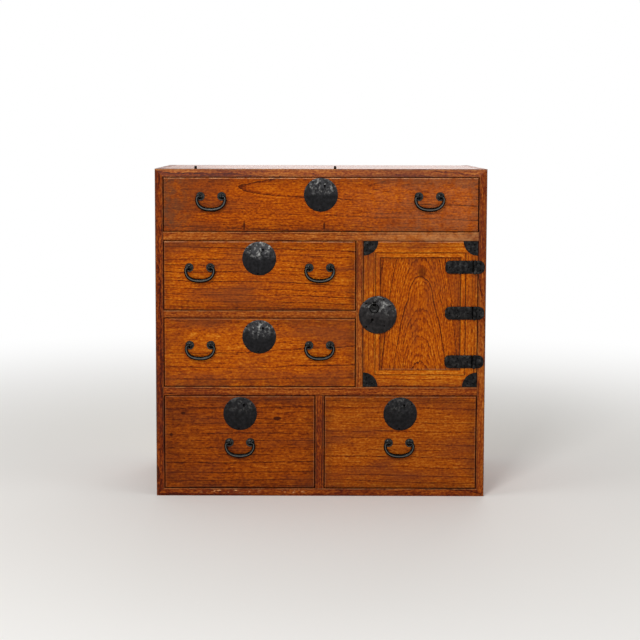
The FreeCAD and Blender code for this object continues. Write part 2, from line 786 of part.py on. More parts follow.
def corner_plates():
    """A quarter-round plate on each corner of the door."""
    corners = {
        "low_right": (90, DOOR_RIGHT, DOOR_LOW),
        "low_left": (0, DOOR_LEFT, DOOR_LOW),
        "high_left": (270, DOOR_LEFT, DOOR_HIGH),
        "high_right": (180, DOOR_RIGHT, DOOR_HIGH),
    }
    made = []
    for tag, (turn, x, z) in corners.items():
        plate = doc.addObject("Part::Cylinder", f"door_corner_{tag}")
        lean = FreeCAD.Rotation(FreeCAD.Vector(1, 0, 0), 90)
        plate.Placement.Rotation = FreeCAD.Rotation(FreeCAD.Vector(0, 1, 0), -turn) * lean
        plate.setExpression("Radius", "dim.corner_radius")
        plate.setExpression("Height", "dim.corner_thick")
        plate.Angle = 90
        made.append(move(plate, x, DOOR_FACE, z))
    return made


def door_lock():
    """Lock case, bolt and bossed face plate of the door; the case blank is returned."""
    reach = "(dim.bolt_width / 2 + 5)"
    half = "(dim.bolt_width / 2 + dim.bolt_play)"
    plate_y = f"({FRONT} - dim.door_plate_lift)"
    z = ("dim.door_plate_z - " + reach, "dim.door_plate_z + " + reach)
    channel_y = (f"{DOOR_BOLT_Y[0]} - dim.bolt_play", f"{DOOR_BOLT_Y[1]} + dim.bolt_play")
    blank = block(
        "door_lock_blank", ("dim.door_case_left", "dim.door_case_right"),
        (plate_y, f"{DOOR_FACE} + dim.lock_case_depth"), z,
    )
    channel = block(
        "door_lock_channel",
        ("dim.door_case_left - 1", "dim.door_bolt_left + dim.door_bolt_length + dim.bolt_play"),
        channel_y, (f"dim.door_plate_z - {half}", f"dim.door_plate_z + {half}"),
    )
    passage = block(
        "door_lock_passage", (DOOR_LEFT, "dim.door_case_left"), channel_y,
        (f"dim.door_plate_z - {half}", f"dim.door_plate_z + {half}"),
    )
    case = housed("door_lock_case", blank, [channel])
    plate = round_plate("door_plate_disc", "dim.door_plate_radius")
    move(plate, "dim.door_plate_x", plate_y, "dim.door_plate_z")
    boss = doc.addObject("Part::Prism", "door_boss")
    well = doc.addObject("Part::Prism", "door_boss_well")
    crown = "dim.lock_plate_thick + dim.boss_height"
    for made, radius, low in ((boss, "dim.boss_radius", "0"), (well, "dim.boss_inner", "dim.boss_well")):
        made.Placement.Rotation = FreeCAD.Rotation(FreeCAD.Vector(1, 0, 0), 90)
        made.Polygon = ROSETTE_FLATS
        made.setExpression("Circumradius", radius)
        made.setExpression("Height", f"{crown} - {low}")
        move(made, "dim.door_plate_x + dim.boss_x", f"{plate_y} - {low}", "dim.door_plate_z + dim.boss_z")
    bossed = housed("door_plate", joined("door_plate_blank", [plate, boss]), [well])
    keep("door_lock_plate", group("door_lock", [bossed, case]))
    bolt = block(
        "door_bolt_bar", ("dim.door_bolt_left", "dim.door_bolt_left + dim.door_bolt_length"),
        DOOR_BOLT_Y, DOOR_BOLT_Z,
    )
    keep("door_lock_bolt", bolt)
    return [blank, passage]


def door_strike():
    """The mortise in the divider that takes the door's bolt."""
    play = "3 * dim.bolt_play"
    return block(
        "door_strike", (f"{UPPER_DIVIDER[1]} - dim.strike_depth", UPPER_DIVIDER[1]),
        (f"{DOOR_BOLT_Y[0]} - {play}", f"{DOOR_BOLT_Y[1]} + {play}"),
        (f"{DOOR_BOLT_Z[0]} - {play}", f"{DOOR_BOLT_Z[1]} + {play}"),
    )


def hinge_leaf(name, plate_x, plate_y, tongue_x, knuckles, hole, rounding, tip):
    """One hinge leaf about the pin: plate, tongues, knuckles with their bore, and a rounded tip."""
    half = "dim.strap_width / 2"
    body = new_body(name)
    plate = new_sketch(body, f"{name}_plate", "XY_Plane")
    rectangle(plate, plate_x, plate_y)
    raised = pad(body, plate, "dim.strap_width", midplane=True)
    tip_x = number(tip)
    axis = FreeCAD.Vector(0, 1, 0)
    ease(
        body, "Fillet", raised,
        lambda edge: along(edge, axis) and abs(edge.Vertexes[0].X - tip_x) < 1e-3, rounding,
    )
    for step, (low, high) in enumerate(knuckles):
        tongue = new_sketch(body, f"{name}_tongue{step}", "XY_Plane", low)
        rectangle(tongue, tongue_x, plate_y)
        pad(body, tongue, f"{high} - ({low})")
        prism(
            body, f"{name}_barrel{step}", "XY_Plane", EYE_FLATS, "dim.barrel_radius", f"{high} - ({low})", low
        )
    prism(body, f"{name}_bore", "XY_Plane", EYE_FLATS, hole, f"4 * {half}", f"-2 * {half}", cut=True)
    return body


def hinges():
    """Three strap hinges: leaves on the door, leaves on the case and the pins between them."""
    half = "dim.strap_width / 2"
    middle = "dim.knuckle / 2"
    clear = "(dim.barrel_radius + dim.barrel_gap)"
    seat = "dim.barrel_radius"
    leaves = {"door": [], "case": []}
    pins = []
    for step, z in enumerate(HINGE_ZS, start=1):
        leaves["door"].append(hinge_leaf(
            f"door_leaf{step}", ("-dim.strap_reach", f"-{clear}"),
            (f"{seat} + dim.door_recess - dim.strap_thick", f"{seat} + dim.door_recess"),
            (f"-{clear}", "0"), [(f"-{middle}", middle)],
            "dim.pin_radius + dim.pin_play", "dim.strap_round", "-dim.strap_reach",
        ))
        leaves["case"].append(hinge_leaf(
            f"case_leaf{step}", (clear, "dim.leaf_reach"), (f"{seat} - dim.strap_thick", seat),
            ("0", clear),
            [(f"-{half}", f"-{middle} - dim.barrel_gap"), (f"{middle} + dim.barrel_gap", half)],
            "dim.pin_radius", "dim.leaf_round", "dim.leaf_reach",
        ))
        pin = new_body(f"hinge_pin{step}")
        prism(
            pin, f"hinge_pin{step}_shank", "XY_Plane", EYE_FLATS, "dim.pin_radius", "dim.strap_width",
            f"-{half}",
        )
        for tag, low in (("foot", f"-{half} - dim.pin_head_height"), ("head", half)):
            prism(
                pin, f"hinge_pin{step}_{tag}", "XY_Plane", HOLE_FLATS, "dim.pin_head", "dim.pin_head_height",
                low,
            )
        pins.append(pin)
        for made in (leaves["door"][-1], leaves["case"][-1], pin):
            move(made, "dim.hinge_x", HINGE_Y, z)
    keep("door_hinge_leaves", group("door_leaves", leaves["door"]))
    keep("case_hinge_leaves", group("case_leaves", leaves["case"]))
    keep("hinge_pins", group("pins", pins))


# Assembly

left_bay = (f"-{INSIDE}", UPPER_DIVIDER[0])
pair = ("_left", "_right")
drawers = [
    Drawer("top", "top", f"-{INSIDE}", INSIDE, UPPER_RAIL[1], TOP, pair),
    Drawer("upper", "upper", *left_bay, MIDDLE_RAIL[1], UPPER_RAIL[0], pair),
    Drawer("middle", "middle", *left_bay, LOWER_RAIL[1], MIDDLE_RAIL[0], pair),
    Drawer("bottom_left", "bottom", f"-{INSIDE}", LOWER_DIVIDER[0], "dim.board", LOWER_RAIL[0], ("",)),
    Drawer("bottom_right", "bottom", LOWER_DIVIDER[1], INSIDE, "dim.board", LOWER_RAIL[0], ("",)),
]
strikes = {drawer.name: drawer.strike() for drawer in drawers}

planks = back_planks()
top = end_board("top_board", INSIDE, HALF, TOP)
bottom = end_board("bottom_board", HALF, INSIDE, "0")
upper_rail, upper_dust = shelf("upper_shelf", UPPER_RAIL, (f"-{INSIDE}", INSIDE))
lower_rail, lower_dust = shelf("lower_shelf", LOWER_RAIL, (f"-{INSIDE}", INSIDE))
middle_rail, middle_dust = shelf("middle_shelf", MIDDLE_RAIL, left_bay)
upper_divider = divider("upper_divider", UPPER_DIVIDER, (LOWER_RAIL[1], UPPER_RAIL[0]))
lower_divider = divider("lower_divider", LOWER_DIVIDER, ("dim.board", LOWER_RAIL[0]))
inner_shelf = block(
    "cupboard_board", (f"{UPPER_DIVIDER[1]} - dim.housing", f"{INSIDE} + dim.housing"),
    (f"{FRONT} + dim.cupboard_shelf_front", BACK),
    ("dim.cupboard_shelf_z", "dim.cupboard_shelf_z + dim.dust_board"),
)
top_studs = studs()

keep("top_board", housed("top_board_piece", top, [*planks, strikes["top_drawer"], *top_studs]))
keep("bottom_board", housed("bottom_board_piece", bottom, [*planks, lower_divider]))
for side, x in (("left", (f"-{HALF}", f"-{INSIDE}")), ("right", (INSIDE, HALF))):
    blank = block(f"{side}_side_blank", x, (FRONT, REAR), ("0", "dim.case_height"))
    mates = [top, bottom, *planks, upper_rail, upper_dust, lower_rail, lower_dust]
    mates += [middle_rail, middle_dust] if side == "left" else [inner_shelf]
    keep(f"{side}_side", housed(f"{side}_side_piece", blank, mates))
keep("back_boards", group("back_planks", planks))
keep("upper_shelf", group("upper_tier", [
    housed("upper_rail_piece", upper_rail, [upper_divider, strikes["upper_drawer"]]), upper_dust,
]))
keep("middle_shelf", group("middle_tier", [
    housed("middle_rail_piece", middle_rail, [strikes["middle_drawer"]]), middle_dust,
]))
keep("lower_shelf", group("lower_tier", [
    housed("lower_rail_piece", lower_rail, [
        upper_divider, lower_divider, strikes["bottom_left_drawer"], strikes["bottom_right_drawer"],
    ]),
    lower_dust,
]))
keep("upper_divider", housed("upper_divider_piece", upper_divider, [
    middle_rail, middle_dust, inner_shelf, door_strike(),
]))
keep("lower_divider", lower_divider)
keep("cupboard_shelf", inner_shelf)
keep("drawer_stops", group("stops", [stop for drawer in drawers for stop in drawer.stops()]))
keep("top_studs", group("studs", top_studs))
hinges()

for drawer in drawers:
    drawer.build()

lock_mates = door_lock()
panel = door_panel()
keep("door_panel", panel)
keep("door_frame", group("frame_members", door_frame([*lock_mates, panel, opening_bevel()])))
keep("door_corner_plates", group("corners", corner_plates()))

doc.recompute()

# Every object has to be sound before a file is written
failed = [item.Label for item in doc.Objects if {"Invalid", "Error"} & set(item.State)]
for name, item in nodes.items():
    if item.Shape.isNull() or not item.Shape.isValid() or not item.Shape.Solids:
        failed.append(name)
if failed:
    raise SystemExit(f"not sound: {', '.join(failed)}")

os.makedirs("parts", exist_ok=True)
for name, item in nodes.items():
    item.Shape.exportStep(f"parts/{name}.step")
print(f"{len(nodes)} nodes, {sum(len(item.Shape.Solids) for item in nodes.values())} solids")
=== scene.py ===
import json
import logging
import math
from dataclasses import dataclass, field, replace
from enum import Enum
from typing import Callable

import bpy
from bpy.types import Material, Node, NodeSocket, NodeTree, Object
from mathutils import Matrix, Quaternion, Vector

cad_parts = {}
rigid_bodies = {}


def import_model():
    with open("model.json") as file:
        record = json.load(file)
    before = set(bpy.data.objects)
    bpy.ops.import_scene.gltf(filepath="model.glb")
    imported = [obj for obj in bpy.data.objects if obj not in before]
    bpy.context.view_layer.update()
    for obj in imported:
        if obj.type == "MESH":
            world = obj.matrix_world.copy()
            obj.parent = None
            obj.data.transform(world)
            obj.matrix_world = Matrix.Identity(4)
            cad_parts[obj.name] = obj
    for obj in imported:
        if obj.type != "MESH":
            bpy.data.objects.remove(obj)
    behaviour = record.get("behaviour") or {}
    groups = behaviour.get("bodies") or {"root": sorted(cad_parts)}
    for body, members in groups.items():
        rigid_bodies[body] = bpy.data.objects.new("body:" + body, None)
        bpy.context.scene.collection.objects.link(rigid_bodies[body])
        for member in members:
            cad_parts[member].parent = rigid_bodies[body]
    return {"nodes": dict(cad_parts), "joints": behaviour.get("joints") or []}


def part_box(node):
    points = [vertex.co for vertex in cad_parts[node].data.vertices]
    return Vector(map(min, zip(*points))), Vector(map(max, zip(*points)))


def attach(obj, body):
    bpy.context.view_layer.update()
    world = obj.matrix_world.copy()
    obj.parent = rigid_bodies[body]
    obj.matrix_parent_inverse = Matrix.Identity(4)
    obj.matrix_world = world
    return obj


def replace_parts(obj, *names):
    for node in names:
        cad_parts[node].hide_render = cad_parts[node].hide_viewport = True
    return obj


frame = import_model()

Pair = tuple[float, float]
Triple = tuple[float, float, float]

LOG = logging.getLogger("clothing_chest")
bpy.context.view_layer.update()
MM = 0.001
PHOTO_WIDTH = 640
SENSOR_MM = 36.0
WHITE = (1.0, 1.0, 1.0, 1.0)
SMOOTH_DEGREES = 38.0
# how far the parts of one piece reach into each other, mm
LAP = 0.02
# the height at which a cutter ends, above every plate that lies flat, mm
DRILL_TOP = 9.0


class Grain(Enum):
    """Which axes run along, across and deep into a board, as indices of X, Y and Z."""

    FRONT_LEVEL = (0, 2, 1)
    FRONT_UPRIGHT = (2, 0, 1)
    FLAT_LEVEL = (0, 1, 2)
    SIDE_UPRIGHT = (2, 1, 0)
    SIDE_DEEP = (1, 2, 0)


class Way(Enum):
    """The turn, in degrees about X, Y and Z, that points a piece made upwards."""

    UP = (0.0, 0.0, 0.0)
    FRONT = (90.0, 0.0, 0.0)
    RIGHT = (0.0, 90.0, 0.0)


# Nodes

def linear(code: str) -> tuple[float, float, float, float]:
    """An sRGB hex value as the linear colour that a socket takes.

    Args:
        code: the colour as #RRGGBB.
    Returns:
        Red, green, blue and alpha.
    """
    parts = (int(code[place:place + 2], 16) / 255 for place in (1, 3, 5))
    return (*(c / 12.92 if c <= 0.04045 else ((c + 0.055) / 1.055) ** 2.4 for c in parts), 1.0)


def add(tree: NodeTree, kind: str, links: dict | tuple = (), stops: tuple = (), **settings: object) -> Node:
    """Add a node with its settings and links.

    Args:
        tree: the node tree.
        kind: the node's type, without the ShaderNode that all of them begin with.
        links: a value, socket or node for each input, by its name or number or in order from the
            first input. Of a node the first output is taken.
        stops: for a colour ramp, its positions and colours.
        settings: the node's own properties.
    Returns:
        The new node.
    """
    node = tree.nodes.new(f"ShaderNode{kind}")
    for name, value in settings.items():
        setattr(node, name, value)
    for step, (position, colour) in enumerate(stops):
        ramp = node.color_ramp.elements
        stop = ramp[step] if step < len(ramp) else ramp.new(position)
        stop.position = position
        stop.color = colour
    for name, value in links.items() if isinstance(links, dict) else enumerate(links):
        if isinstance(value, Node):
            value = value.outputs[0]
        if isinstance(value, NodeSocket):
            tree.links.new(value, node.inputs[name])
        else:
            node.inputs[name].default_value = value
    return node


def new_material(name: str) -> tuple[Material, NodeTree, Node]:
    """A material with nothing in it but its output.

    Args:
        name: the material's name.
    Returns:
        The material, its node tree and its output node.
    """
    made = bpy.data.materials.new(name)
    made.use_nodes = True
    made.node_tree.nodes.clear()
    return made, made.node_tree, add(made.node_tree, "OutputMaterial")


def millimetres(tree: NodeTree) -> Node:
    """Where a point of the piece lies, in mm from the chest's origin."""
    spot = add(tree, "TexCoord").outputs["Object"]
    return add(tree, "VectorMath", {0: spot, "Scale": 1 / MM}, operation="SCALE")


def joined(tree: NodeTree, operation: str, first: Node | NodeSocket, *others: Node | NodeSocket) -> Node:
    """Join masks one after the other into one.

    Args:
        tree: the node tree.
        operation: how two of them are joined, such as MULTIPLY for where all of them are one.
        first: the first mask.
        others: the masks that join it.
    Returns:
        The joined mask.
    """
    for other in others:
        first = add(tree, "Math", (first, other), operation=operation)
    return first


def overlaid(tree: NodeTree, below: NodeSocket | tuple, *layers: tuple[Node, str]) -> NodeSocket:
    """Lay colours over another, each where its mask is one.

    Args:
        tree: the node tree.
        below: the colour below, as a socket or as linear values.
        layers: the mask and the sRGB hex value of each layer, from the lowest up.
    Returns:
        The colour on top.
    """
    for mask, code in layers:
        below = add(tree, "Mix", {0: mask, 6: below, 7: linear(code)}, data_type="RGBA").outputs[2]
    return below


# Wood

@dataclass(frozen=True)
class Knot:
    """A small knot: its place from the middle of the board and its size, mm, and its push on the rings."""

    along: float
    across: float
    length: float
    width: float
    swell: float = 0.2
    dark: float = 0.75


@dataclass(frozen=True)
class Sawing:
    """How a board lay in its log, in mm from the middle of the board.

    The rings are circles about the heart, and where the heart drifts away from the face along the
    board, they open on it as nested arches. Planks side by side, all of one width, are each cut
    from another part of the log.
    """

    grain: Grain
    heart: Pair
    drift: Pair = (0.0, 0.0)
    ring: float = 11.0
    wander: float = 9.0
    ripple: float = 1.2
    shift: float = 0.0
    phase: float = 0.0
    uneven: float = 1.6
    line_mm: float = 4.5
    lines: float = 0.42
    fine_lines: float = 0.14
    knots: tuple[Knot, ...] = ()
    plank: float = 0.0


@dataclass(frozen=True)
class WoodFinish:
    """The colours and gloss of a wood surface, from the dark ring lines to the palest early wood."""

    line: str
    dark: str
    middle: str
    light: str
    pale: str
    stain: str
    # worn_and_highlight paints chips and rub, and also painted highlights and sheen; grime_and_shade paints
    # soil, and also painted shade in the gaps
    worn_and_highlight: str
    grime_and_shade: str
    stain_share: float
    roughness: float
    specular: float
    coat: float
    bump: float


# Transparent amber lacquer over open-grained wood: deep orange, with a low gloss that time has left
AMBER_LACQUER = WoodFinish(
    line="#4E1B03", dark="#843303", middle="#A64A03", light="#BD6004", pale="#D38123", stain="#7C3F1E",
    worn_and_highlight="#E2A272", grime_and_shade="#381508", stain_share=0.55, roughness=0.42, specular=0.05, coat=0.03, bump=0.35,
)
# The same amber, darker on the lowest drawers: painted shade, as the light from above falls off towards the
# floor
SHADED_LOW_LACQUER = replace(
    AMBER_LACQUER, line="#401502", dark="#6E2902", middle="#8E3E03", light="#A34F05", pale="#BA6D1F",
    stain="#6B341C",
)
# The same lacquer, redder and darker on the case, which gets the knocks
RED_LACQUER = WoodFinish(
    line="#3E1104", dark="#692507", middle="#8A3D0D", light="#A45516", pale="#BF7532", stain="#582218",
    worn_and_highlight="#DC9C62", grime_and_shade="#240B04", stain_share=0.6, roughness=0.42, specular=0.06, coat=0.03, bump=0.4,
)
# The top board, polished by what stood on it and by dusting: it mirrors the wall behind
TOP_LACQUER = replace(RED_LACQUER, roughness=0.3, specular=0.25, coat=0.15)
# Planed paulownia without any finish: pale, dry and silvery with age
BARE_WOOD = WoodFinish(
    line="#A5855C", dark="#BA9A6E", middle="#CDB088", light="#DAC19B", pale="#E2CDAB", stain="#B79C78",
    worn_and_highlight="#D8C4A2", grime_and_shade="#8F7452", stain_share=0.4, roughness=0.72, specular=0.4, coat=0.0, bump=0.3,
)


@dataclass(frozen=True)
class Outline:
    """The edges of a front that wears, mm: left, right, low, high, and the depth of its face."""

    left: float
    right: float
    low: float
    high: float
    face: float

    @classmethod
    def of(cls, node: str) -> "Outline":
        """The outline of a node's front face."""
        low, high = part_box(node)
        return cls(low.x / MM, high.x / MM, low.z / MM, high.z / MM, low.y / MM)


@dataclass
class GrainNodes:
    """The nodes that carry one board's rings, fibres and blotches.

    tree is the material's, and place is in mm from the middle of the board, as X, Y and Z. The
    other sizes are in mm, first along and then across the grain, and the shares say how much each
    pattern darkens or lightens the wood.
    """

    tree: NodeTree
    place: Node
    sawing: Sawing
    # planed fibres are finer than a pixel, so they are drawn about twice as coarse
    fibre_mm: Pair = (30.0, 2.7)
    figure_mm: Pair = (7.5, 4.2)
    stain_mm: Pair = (190.0, 62.0)
    bow_mm: Pair = (330.0, 120.0)
    wave_mm: Pair = (70.0, 28.0)
    ripple_mm: Pair = (15.0, 7.0)
    fade_mm: Pair = (260.0, 24.0)
    fibre_share: float = 0.95
    figure_share: float = 1.15
    stain_share: float = -0.5
    middle: float = 0.6
    third_lines: float = 0.15
    third_line_mm: float = 3.0
    least_slope: float = 0.15
    knot_swell: float = 2.6
    knot_core: Pair = (1.2, 0.5)
    seam_mm: Pair = (1.3, 0.5)
    seam_dark: float = 0.8
    plank_step: Pair = (370.0, 37.0)

    def __post_init__(self) -> None:
        """Lay the board in its log."""
        tree, plank = self.tree, self.sawing.plank
        axes = add(tree, "SeparateXYZ", (self.place,)).outputs
        along, across, deep = (axes[axis] for axis in self.sawing.grain.value)
        self.along = add(tree, "CombineXYZ", (along, across, deep))
        self.seam = None
        if plank:
            count = add(tree, "Math", (across, 1 / plank, 0.5), operation="MULTIPLY_ADD")
            part = add(tree, "Math", (count,), operation="FRACT")
            off = add(tree, "Math", (part, 0.5), operation="SUBTRACT")
            wide, core = self.seam_mm
            self.seam = add(tree, "MapRange", {
                "Value": add(tree, "Math", (off,), operation="ABSOLUTE"),
                "From Min": 0.5 - wide / plank, "From Max": 0.5 - core / plank, "To Max": self.seam_dark,
            })
            step = add(tree, "Math", (count,), operation="FLOOR")
            move = (self.plank_step[0], self.plank_step[1] - plank, 0.0)
            self.along = add(tree, "VectorMath", (step, move, self.along), operation="MULTIPLY_ADD")
        self.rings, self.knot_mask = self.growth_rings()
        self.fibre = self.noise(self.fibre_mm, detail=3.0)
        self.figure = self.noise(self.figure_mm)
        self.stain = self.noise(self.stain_mm, detail=3.0)

    def noise(self, size: Pair, detail: float = 2.0) -> Node:
        """Noise stretched with the grain.

        Args:
            size: how long it is along the grain and how wide across, mm.
            detail: how many finer layers it has.
        Returns:
            Noise about one half.
        """
        shift = self.sawing.shift
        stretched = add(self.tree, "Mapping", {
            "Vector": self.along, "Scale": (1 / size[0], 1 / size[1], 1 / size[1]),
            "Location": (shift, 2 * shift, 3 * shift),
        })
        return add(self.tree, "TexNoise", {
            "Vector": stretched, "Scale": 1.0, "Detail": detail, "Roughness": 0.55,
        })

    def bent(self, place: Node, size: Pair, amount: float) -> Node:
        """Push the rings across and deep by noise.

        Args:
            place: the place on the board before.
            size: how long the bends are along the grain and how wide across, mm.
            amount: how far they push, mm.
        Returns:
            The place after.
        """
        colour = self.noise(size).outputs["Color"]
        push = add(self.tree, "VectorMath", (colour, (0.5, 0.5, 0.5)), operation="SUBTRACT")
        reach = (0.0, 2 * amount, 2 * amount)
        return add(self.tree, "VectorMath", (push, reach, place), operation="MULTIPLY_ADD")

    def growth_rings(self) -> tuple[Node, Node | None]:
        """Count the rings from the heart out, pushed aside by the knots.

        Returns:
            The count, whose fraction is the place within a ring, and the mask of the knots.
        """
        tree, sawing = self.tree, self.sawing
        place = self.bent(self.along, self.bow_mm, sawing.wander)
        place = self.bent(place, self.wave_mm, sawing.wander / 5)
        place = self.bent(place, self.ripple_mm, sawing.ripple)
        sides = []
        for way, heart in zip(((sawing.drift[0], 1.0, 0.0), (sawing.drift[1], 0.0, 1.0)), sawing.heart):
            side = add(tree, "VectorMath", (place, way), operation="DOT_PRODUCT").outputs["Value"]
            sides.append(add(tree, "Math", (side, heart), operation="SUBTRACT"))
        from_heart = add(tree, "CombineXYZ", tuple(sides))
        radius = add(tree, "VectorMath", (from_heart,), operation="LENGTH").outputs["Value"]
        inward = add(tree, "VectorMath", (from_heart,), operation="NORMALIZE")
        drift = (*sawing.drift, 0.0)
        lengthwise = add(tree, "VectorMath", (inward, drift), operation="DOT_PRODUCT").outputs["Value"]
        crosswise = add(tree, "SeparateXYZ", (inward,)).outputs[0]
        on_face = add(tree, "CombineXYZ", (lengthwise, crosswise, self.least_slope))
        slope = add(tree, "VectorMath", (on_face,), operation="LENGTH").outputs["Value"]
        self.ring_mm = add(tree, "Math", (sawing.ring, slope), operation="DIVIDE")
        cores = []
        for knot in sawing.knots:
            middle, size = (knot.along, knot.across, 0.0), (2 / knot.length, 2 / knot.width, 0.0)
            off = add(tree, "VectorMath", (self.along, middle), operation="SUBTRACT")
            scaled = add(tree, "VectorMath", (off, size), operation="MULTIPLY")
            reach = add(tree, "VectorMath", (scaled,), operation="LENGTH").outputs["Value"]
            swell, core = (
                add(tree, "MapRange", {
                    "Value": reach, "From Min": far, "From Max": near, "To Max": share,
                }, interpolation_type="SMOOTHSTEP")
                for far, near, share in (
                    (self.knot_swell, 0.0, knot.swell * knot.width), (*self.knot_core, knot.dark),
                )
            )
            radius = add(tree, "Math", (radius, swell), operation="ADD")
            cores.append(core)
        uneven = add(tree, "TexNoise", {
            "W": add(tree, "Math", (radius, 0.4 / sawing.ring), operation="MULTIPLY"),
            "Scale": 1.0, "Detail": 1.0,
        }, noise_dimensions="1D")
        start = add(tree, "Math", (uneven, sawing.uneven, sawing.phase), operation="MULTIPLY_ADD")
        count = add(tree, "Math", (radius, 1 / sawing.ring, start), operation="MULTIPLY_ADD")
        return count, joined(tree, "MAXIMUM", *cores) if cores else None

    def ring_lines(self, parts: float, width: float | None = None) -> Node:
        """Dark lines at the end of each ring, or of each part of a ring, that come and go.

        Args:
            parts: parts per ring.
            width: the width of a line on the face, mm. Without it, a line takes most of its part.
        Returns:
            One on the lines.
        """
        tree = self.tree
        count = add(tree, "Math", (self.rings, parts), operation="MULTIPLY")
        place = add(tree, "Math", (count,), operation="FRACT")
        left = add(tree, "Math", (1.0, place), operation="SUBTRACT")
        if width:
            left = add(tree, "Math", (left, self.ring_mm), operation="MULTIPLY")
        reach = width * parts if width else 0.6
        line = add(tree, "MapRange", {"Value": left, "From Min": reach, "From Max": 0.2 * reach})
        patchy = self.noise((self.fade_mm[0], self.fade_mm[1] / parts))
        fade = add(tree, "MapRange", {"Value": patchy, "From Min": 0.33, "From Max": 0.55, "To Min": 0.2})
        return add(tree, "Math", (line, fade), operation="MULTIPLY")

    def colour(self, finish: WoodFinish, tone: float = 0.0) -> NodeSocket:
        """The colour of the board's rings, fibres and stains.

        Args:
            finish: the finish that it wears.
            tone: how much lighter it is than other boards, as a part of the finish's ramp.
        Returns:
            The colour.
        """
        tree, sawing = self.tree, self.sawing
        shares = (self.fibre_share, self.figure_share, self.stain_share)
        depth = self.middle - 0.5 * sum(shares) + tone
        for pattern, share in (
            *zip((self.fibre, self.figure, self.stain), shares),
            (self.ring_lines(1.0, sawing.line_mm), -sawing.lines),
            (self.ring_lines(3.0, self.third_line_mm), -self.third_lines),
            (self.ring_lines(9.0), -sawing.fine_lines),
        ):
            depth = add(tree, "Math", (pattern, share, depth), operation="MULTIPLY_ADD")
        colour = add(tree, "ValToRGB", (depth,), stops=(
            (0.05, linear(finish.line)), (0.3, linear(finish.dark)), (0.52, linear(finish.middle)),
            (0.74, linear(finish.light)), (0.98, linear(finish.pale)),
        )).outputs[0]
        stained = add(tree, "MapRange", {
            "Value": self.stain, "From Min": 0.48, "From Max": 0.72, "To Max": finish.stain_share,
        })
        layers = ((stained, finish.stain), (self.knot_mask, finish.line), (self.seam, finish.grime_and_shade))
        return overlaid(tree, colour, *(layer for layer in layers if layer[0] is not None))


@dataclass(frozen=True)
class Edging:
    """How the edges of a front look, in mm and shares: a dark line of painted shade along the gap, then
    a light line of rub and painted highlight.

    The light line is strongest along the top, where the light from above falls on the edge and hands
    reach it. gap_shade says how much of the dark line the left, right, lower and upper edges have.
    grime_and_shade darkens the face towards its nearest edge, and the grooves are dark lines of
    painted shade.
    """

    dark_width: float = 1.1
    dark: float = 0.5
    gap_shade: tuple[float, ...] = (1.0, 1.0, 0.35, 1.0)
    rub_and_highlight_at: float = 2.3
    rub_and_highlight_reach: float = 0.9
    top: float = 0.3
    side: float = 0.16
    foot: float = 0.05
    grime_and_shade_width: float = 34.0
    grime_and_shade: float = 0.5
    grooves: tuple[float, ...] = ()
    groove: float = 0.85
    groove_reach: float = 1.0
    soft: float = 0.5


@dataclass(frozen=True)
class Bare:
    """The part of a node that has no lacquer: behind a depth and within the case's inner walls, mm.

    From gap_shade_from back to that depth, the gap walls are painted dark as shade.
    """

    depth: float
    half_width: float = 1000.0
    low: float = -1000.0
    high: float = 2000.0
    gap_shade_from: float = 1000.0

    def masks(self, tree: NodeTree, spot: Node) -> tuple[Node, Node]:
        """Find the bare part of the node.

        Args:
            tree: the material's node tree.
            spot: mm from the chest's origin.
        Returns:
            One on the gap walls behind the front face, painted dark as shade, and one on the bare part behind
            that.
        """
        across, depth, up = add(tree, "SeparateXYZ", (spot,)).outputs
        wide = add(tree, "Math", (across,), operation="ABSOLUTE")
        inside = joined(tree, "MULTIPLY", *(
            add(tree, "Math", (place, limit), operation=test) for place, limit, test in (
                (wide, self.half_width, "LESS_THAN"), (up, self.low, "GREATER_THAN"),
                (up, self.high, "LESS_THAN"),
            )
        ))
        dirty_and_shaded, bare = (
            joined(tree, "MULTIPLY", inside, add(tree, "Math", (depth, start), operation="GREATER_THAN"))
            for start in (self.gap_shade_from, self.depth)
        )
        return dirty_and_shaded, bare


